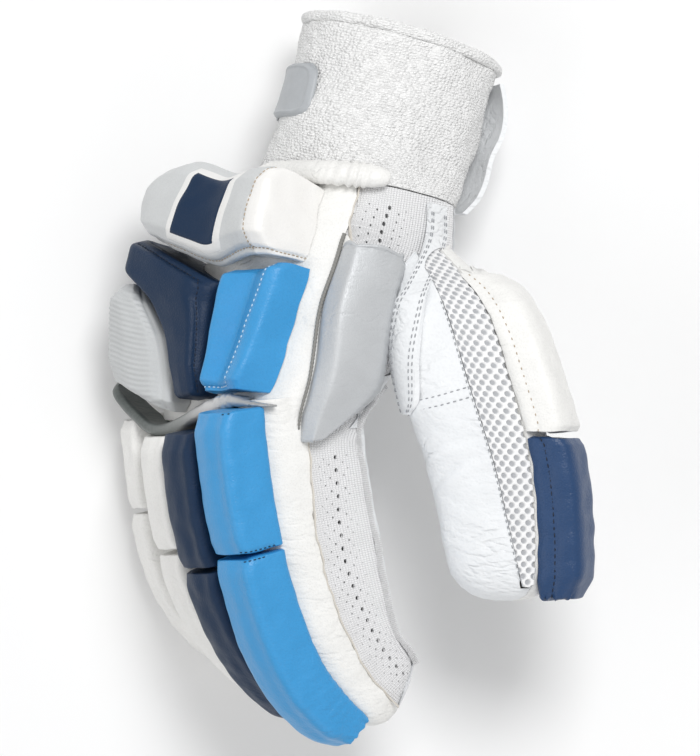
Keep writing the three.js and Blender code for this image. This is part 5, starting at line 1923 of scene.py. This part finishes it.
class SideBars(Parts):
    """The silver bars beside the index finger and under the glove, and the web strap."""

    BAR = (
        (0.68, 144.5, 149, 167, 173), (0.65, 144.5, 149, 170, 177), (0.4, 152, 157, 179, 187),
        (0.15, 162.5, 168, 188, 196.5), (0.02, 170.5, 175, 188.5, 194.5),
        (-0.09, 179.5, 181.5, 185.5, 189),
    )
    ULNAR = (
        (0.88, -40, -30, -10, 2), (0.83, -44, -34, -9, 4), (0.5, -44, -34, -9, 4),
        (0.2, -40, -30, -9, 4), (0.14, -36, -28, -10, 2),
    )
    ROPE = (
        (0.74, 142.2), (0.68, 142.8), (0.57, 146), (0.33, 153.5), (0.085, 164.8), (-0.08, 177.5),
    )
    STRAP = (
        ("hand", 0.97, 183, 189, 195), ("hand", 0.8, 185, 191, 198),
        ("thumb", 0.12, 200, 184, 168), ("thumb", 0.17, 226, 207, 190),
        ("thumb", 0.27, 250, 232, 214), ("thumb", 0.38, 256, 242, 228),
        ("thumb", 0.42, 258, 250, 242),
    )
    STRAP_LIFT, STRAP_GRID = 0.6, (120, 40)

    def _bar(self, rows: Sequence, crimp: float) -> Pad:
        """A padded bar with a crimped end."""
        control = [
            [(at, a, 3.5), (at, b, SIDE_BAR_HEIGHT), (at, c, SIDE_BAR_HEIGHT), (at, d, 3.2)]
            for at, a, b, c, d in rows
        ]
        pad = Pad(HAND.surface, control, 4.0, rounding=1.1, end=1.6, spacing=0.8, lengthways=120)
        pad.uneven(30, 0.06, 61)
        gather = hump(pad.u, 0, 0.035)[:, None]
        pad.raise_by(crimp * gather * np.sin(pad.column * 5.2)[None, :])
        return pad

    def build(self) -> None:
        """Builds both bars, the piping and the strap."""
        pad = self._bar(self.BAR, 0.8)
        wrinkle = np.sin(pad.u * 190 + np.sin(pad.u * 37))[:, None]
        side = np.clip((pad.column - 1.75) * 2, 0, 1)[None, :]
        pad.raise_by(0.13 * wrinkle * side)
        lip = tube(pad.where(0.012, np.linspace(-0.3, 3.2, 90), 0.1), 0.75, 12)
        dress(lip.object("side_bar_lip"), Finish.SILVER, angle=CLOTH_EDGE)
        self.cover(pad.solid(), "side_bar", Finish.SILVER)
        self.cover(self._bar(self.ULNAR, 0.3).solid(), "ulnar_bar", Finish.SILVER)
        self._piping()
        self._strap()

    def _piping(self) -> None:
        """The twisted piping along the bar's edge."""
        table = Table("at angle", self.ROPE)
        at = np.linspace(0.73, -0.08, 320)
        path = HAND.surface(at, table.at("angle", at), 1.2)
        twist = np.interp(at, (-0.08, 0.1, 0.6, 0.9), (0.4, 0.6, 0.85, 0.7))
        twist = twist + 0.1 * np.sin(np.arange(len(at)) * 1.1)
        cord = tube(path, twist, 14).object("side_bar_piping_cord")
        cut(cord, Cut.TAKE, self.bodies.around)
        dress(cord, Finish.PIPING, ["side_bar_piping"], angle=CLOTH_EDGE)

    def _strap_grid(self, height: float) -> Array:
        """Points over the strap at a height above the skin."""
        forms = {"hand": HAND, "thumb": THUMB}
        lines = np.array([
            [forms[form].surface(np.array(at), np.array(angle), height) for angle in angles]
            for form, at, *angles in self.STRAP
        ])
        place = np.linspace(0, 1, len(lines))
        share, side = (np.linspace(0, 1, count) for count in self.STRAP_GRID)
        read = lambda values: Table("a v", list(zip(place, values))).at("v", share)
        down = np.stack(
            [np.stack([read(lines[:, c, k]) for k in range(3)], -1) for c in range(3)], 1
        )
        weight = [(1 - side) * (1 - 2 * side), 4 * side * (1 - side), side * (2 * side - 1)]
        return np.einsum("rck,cs->rsk", down, np.stack(weight))

    def _strap(self) -> None:
        """The leather strap that webs the thumb to the heel of the hand."""
        top, low = self._strap_grid(self.STRAP_LIFT + LEATHER), self._strap_grid(self.STRAP_LIFT)
        strap = Solid.slab(top, low).object("thumb_strap_leather")
        dress(cut(strap, Cut.TAKE, self.bodies.around), Finish.SOFT, ["thumb_strap"])
        lifted = self._strap_grid(0.1 + self.STRAP_LIFT + LEATHER)
        paths = [lifted[6:112, column] for column in (3, 7, 32, 36)]
        StitchRun("strap_stitches", Finish.GREY_THREAD, 2.7, 1.7, 0.6, paths).sew()


class ThumbPads(Parts):
    """Two pads on the back of the thumb, and the stitching on its leather."""

    def _pad(self, stations: Sequence, seed: int) -> Pad:
        """A box-like pad with softly rounded edges."""
        rows = [
            [
                (at, low, h - 5.0), (at, low + 0.8, h - 1.8), (at, low + 4.5, h),
                (at, high - 4.5, h), (at, high - 0.8, h - 1.8), (at, high, h - 5.0),
            ]
            for at, low, high, h in stations
        ]
        pad = Pad(THUMB.deck, rows, 8.0, rounding=1.7, end=3.0)
        return pad.uneven(13, 0.22, seed)

    def build(self) -> None:
        """Builds both pads and their stitches."""
        h = THUMB_PAD_HEIGHT
        white = self._pad(
            [(0.085, -10, 11, h * 0.65), (0.12, -10.5, 12.5, h), (0.17, -11, 13, h),
             (0.3, -12.5, 13.5, h), (0.45, -12.5, 14, h), (0.475, -12.5, 14, h * 0.85)], 71,
        )
        navy = self._pad(
            [(0.49, -12.5, 14, h * 0.85), (0.515, -12.5, 14, h), (0.75, -12.5, 13.5, h),
             (0.93, -12.5, 12.5, h), (1.0, -10, 10.5, h * 0.65)], 73,
        )
        navy.pleats(1.0, 0.09, 2.6, 0.7, (-2.0, 1.6))
        tan = [white.seam([(0.05, -0.55), (0.96, -0.55)], 0.9, 0.5)]
        StitchRun("thumb_pad_stitches_white", Finish.TAN_THREAD, 3.0, 1.2, 0.5, tan).sew()
        dark = [navy.seam([(0.03, -0.5), (0.95, -0.5)], 0.9, 0.6)]
        StitchRun(
            "thumb_pad_stitches_navy", Finish.DARK_THREAD, 2.6, 1.8, 0.6, dark,
            Finish.INK.value.slot,
        ).sew()
        self.cover(white.solid(), "thumb_pad_white", Finish.WHITE)
        self.cover(navy.solid(), "thumb_pad_navy", Finish.INK)
        self._leather_stitches()

    def _leather_stitches(self) -> None:
        """Double rows across the thumb and single rows beside the mesh."""
        angle = np.linspace(166, 262, 60)
        paths = [
            THUMB.surface(0.345 + shift + 0.05 * (angle - 166) / 96, angle, 0.25)
            for shift in (0.0, 0.026)
        ]
        at = np.linspace(0.16, 0.93, 120)
        table = Table("at from to", Skin.MESH_ROWS)
        paths.append(THUMB.surface(at, table.at("to", at) + 2.6, 0.25))
        StitchRun("thumb_leather_stitches", Finish.GREY_THREAD, 2.5, 1.5, 0.55, paths).sew()


class Seams(Parts):
    """The raw leather edge and the knit's hem along the seams of the thumb side."""

    EDGE_FOOT, EDGE_CREST, EDGE_HALF = -0.9, 0.7, 0.38  # heights and half width of the raw edge

    def build(self) -> None:
        """Builds the raw leather edge and the knit's rolled hem."""
        self._edge()
        self._hem()

    def _edge(self) -> None:
        """A thin wavy edge where the back leather meets the knit."""
        lines = [KnitPattern.back_edge(height) for height in (self.EDGE_FOOT, self.EDGE_CREST)]
        place, fine = np.linspace(0, 1, len(lines[0])), np.linspace(0.005, 0.985, 420)
        base, top = (resampled(blur(line, 2.0, 0, False), place, fine) for line in lines)
        side = np.cross(unit(np.gradient(base, axis=0)), unit(top - base))
        wave = ripple(base, 9.0, 81) * 0.3 + ripple(base, 20.0, 82) * 0.4
        tall = 1 + 0.2 * ripple(base, 8.0, 83)
        crest = base + (top - base) * tall[:, None] + side * wave[:, None]
        half = side * self.EDGE_HALF
        rings = np.stack([base - half, crest - half * 0.7, crest + half * 0.7, base + half], 1)
        dress(Solid.loft(rings).object("knit_seam_leather_edge"), Finish.SUEDE, angle=70)

    def _hem(self) -> None:
        """The rolled edge of the knit on the palm side."""
        line = blur(KnitPattern.line(-0.79, 0.1)[36:-3], 2.0, 0, False)
        path = resampled(line, np.arange(len(line)), np.linspace(0, len(line) - 1, 300))
        path = path + ripple(path, 18.0, 85)[:, None] * 0.5
        radius = 1.3 + 0.2 * ripple(path, 7.0, 86)
        hem = tube(path, radius, 16).object("knit_rolled_hem")
        vector_attribute(hem, "fabric", KnitPattern.fabric(spots(hem)) * [1.0, 2.0, 1.0])
        dress(hem, Finish.KNIT, angle=CLOTH_EDGE)


class Studio:
    """Plain pale floor, soft lights and the camera above the glove."""

    DISTANCE, AIM_HEIGHT = 3.0, 0.07
    VIEW_HEIGHT = 0.2948  # metres of the glove that the picture's height covers
    SENSOR = 36.0
    AIM = (0.0, -0.0006)
    FLOOR_HALF, CORNERS = 4.0, ((-1, -1), (1, -1), (1, 1), (-1, 1))
    LIGHTS = (  # name, place, size and power
        ("key", (0.3, 0.75, 1.6), 0.6, 17.5),
        ("fill", (-1.2, -0.3, 1.1), 1.2, 5.0),
        ("low", (0.5, -1.2, 0.9), 1.0, 2.6),
    )

    def build(self) -> None:
        """Adds the floor, the lights and the camera."""
        mesh = bpy.data.meshes.new("studio_floor")
        corners = [(x * self.FLOOR_HALF, y * self.FLOOR_HALF, 0) for x, y in self.CORNERS]
        mesh.from_pydata(corners, [], [(0, 1, 2, 3)])
        floor = placed("studio_floor", mesh)
        n = Nodes("studio paper")
        shade = n.remap(n.noise(400.0), 0.3, 0.7)
        mesh.materials.append(
            n.finish(Base_Color=n.tint(shade, (0.9, 0.9, 0.9), (0.92, 0.92, 0.92)), Roughness=0.9)
        )
        for row in self.LIGHTS:
            self._light(*row)
        world = bpy.data.worlds.new("soft room")
        world.use_nodes = True
        background = world.node_tree.nodes["Background"]
        background.inputs[0].default_value = (1.0, 1.0, 1.0, 1.0)
        background.inputs[1].default_value = 0.5
        bpy.context.scene.world = world
        bpy.context.scene.view_settings.view_transform = "Standard"
        self._camera()

    def _light(self, name: str, place: tuple, size: float, power: float) -> None:
        """An area light that looks at the glove."""
        data = bpy.data.lights.new(name, "AREA")
        data.size, data.energy = size, power
        light = placed(name, data)
        light.location = place
        away = Vector(place) - Vector((0, 0, self.AIM_HEIGHT))
        light.rotation_euler = away.to_track_quat("Z", "Y").to_euler()

    def _camera(self) -> None:
        """The camera looks straight down on the thumb side."""
        data = bpy.data.cameras.new("camera")
        data.sensor_fit = "VERTICAL"
        data.sensor_height = data.sensor_width = self.SENSOR
        data.lens = self.SENSOR * self.DISTANCE / self.VIEW_HEIGHT
        data.clip_end = 20.0
        camera = placed("camera", data)
        camera.location = (*self.AIM, self.DISTANCE + self.AIM_HEIGHT)
        bpy.context.scene.camera = camera


def main() -> None:
    """Builds the studio and the glove, part by part."""
    logging.basicConfig(level=logging.INFO, format="%(message)s")
    Studio().build()
    skin = Skin()
    skin.build()
    b = skin.bodies
    for parts in (FingerRolls, HandPads, SideBars, ThumbPads, Wristband, Seams):
        parts(b).build()
    discard(b.outer, b.hollow, b.around, b.hand, b.thumb, b.floor)


if __name__ == "__main__":
    main()
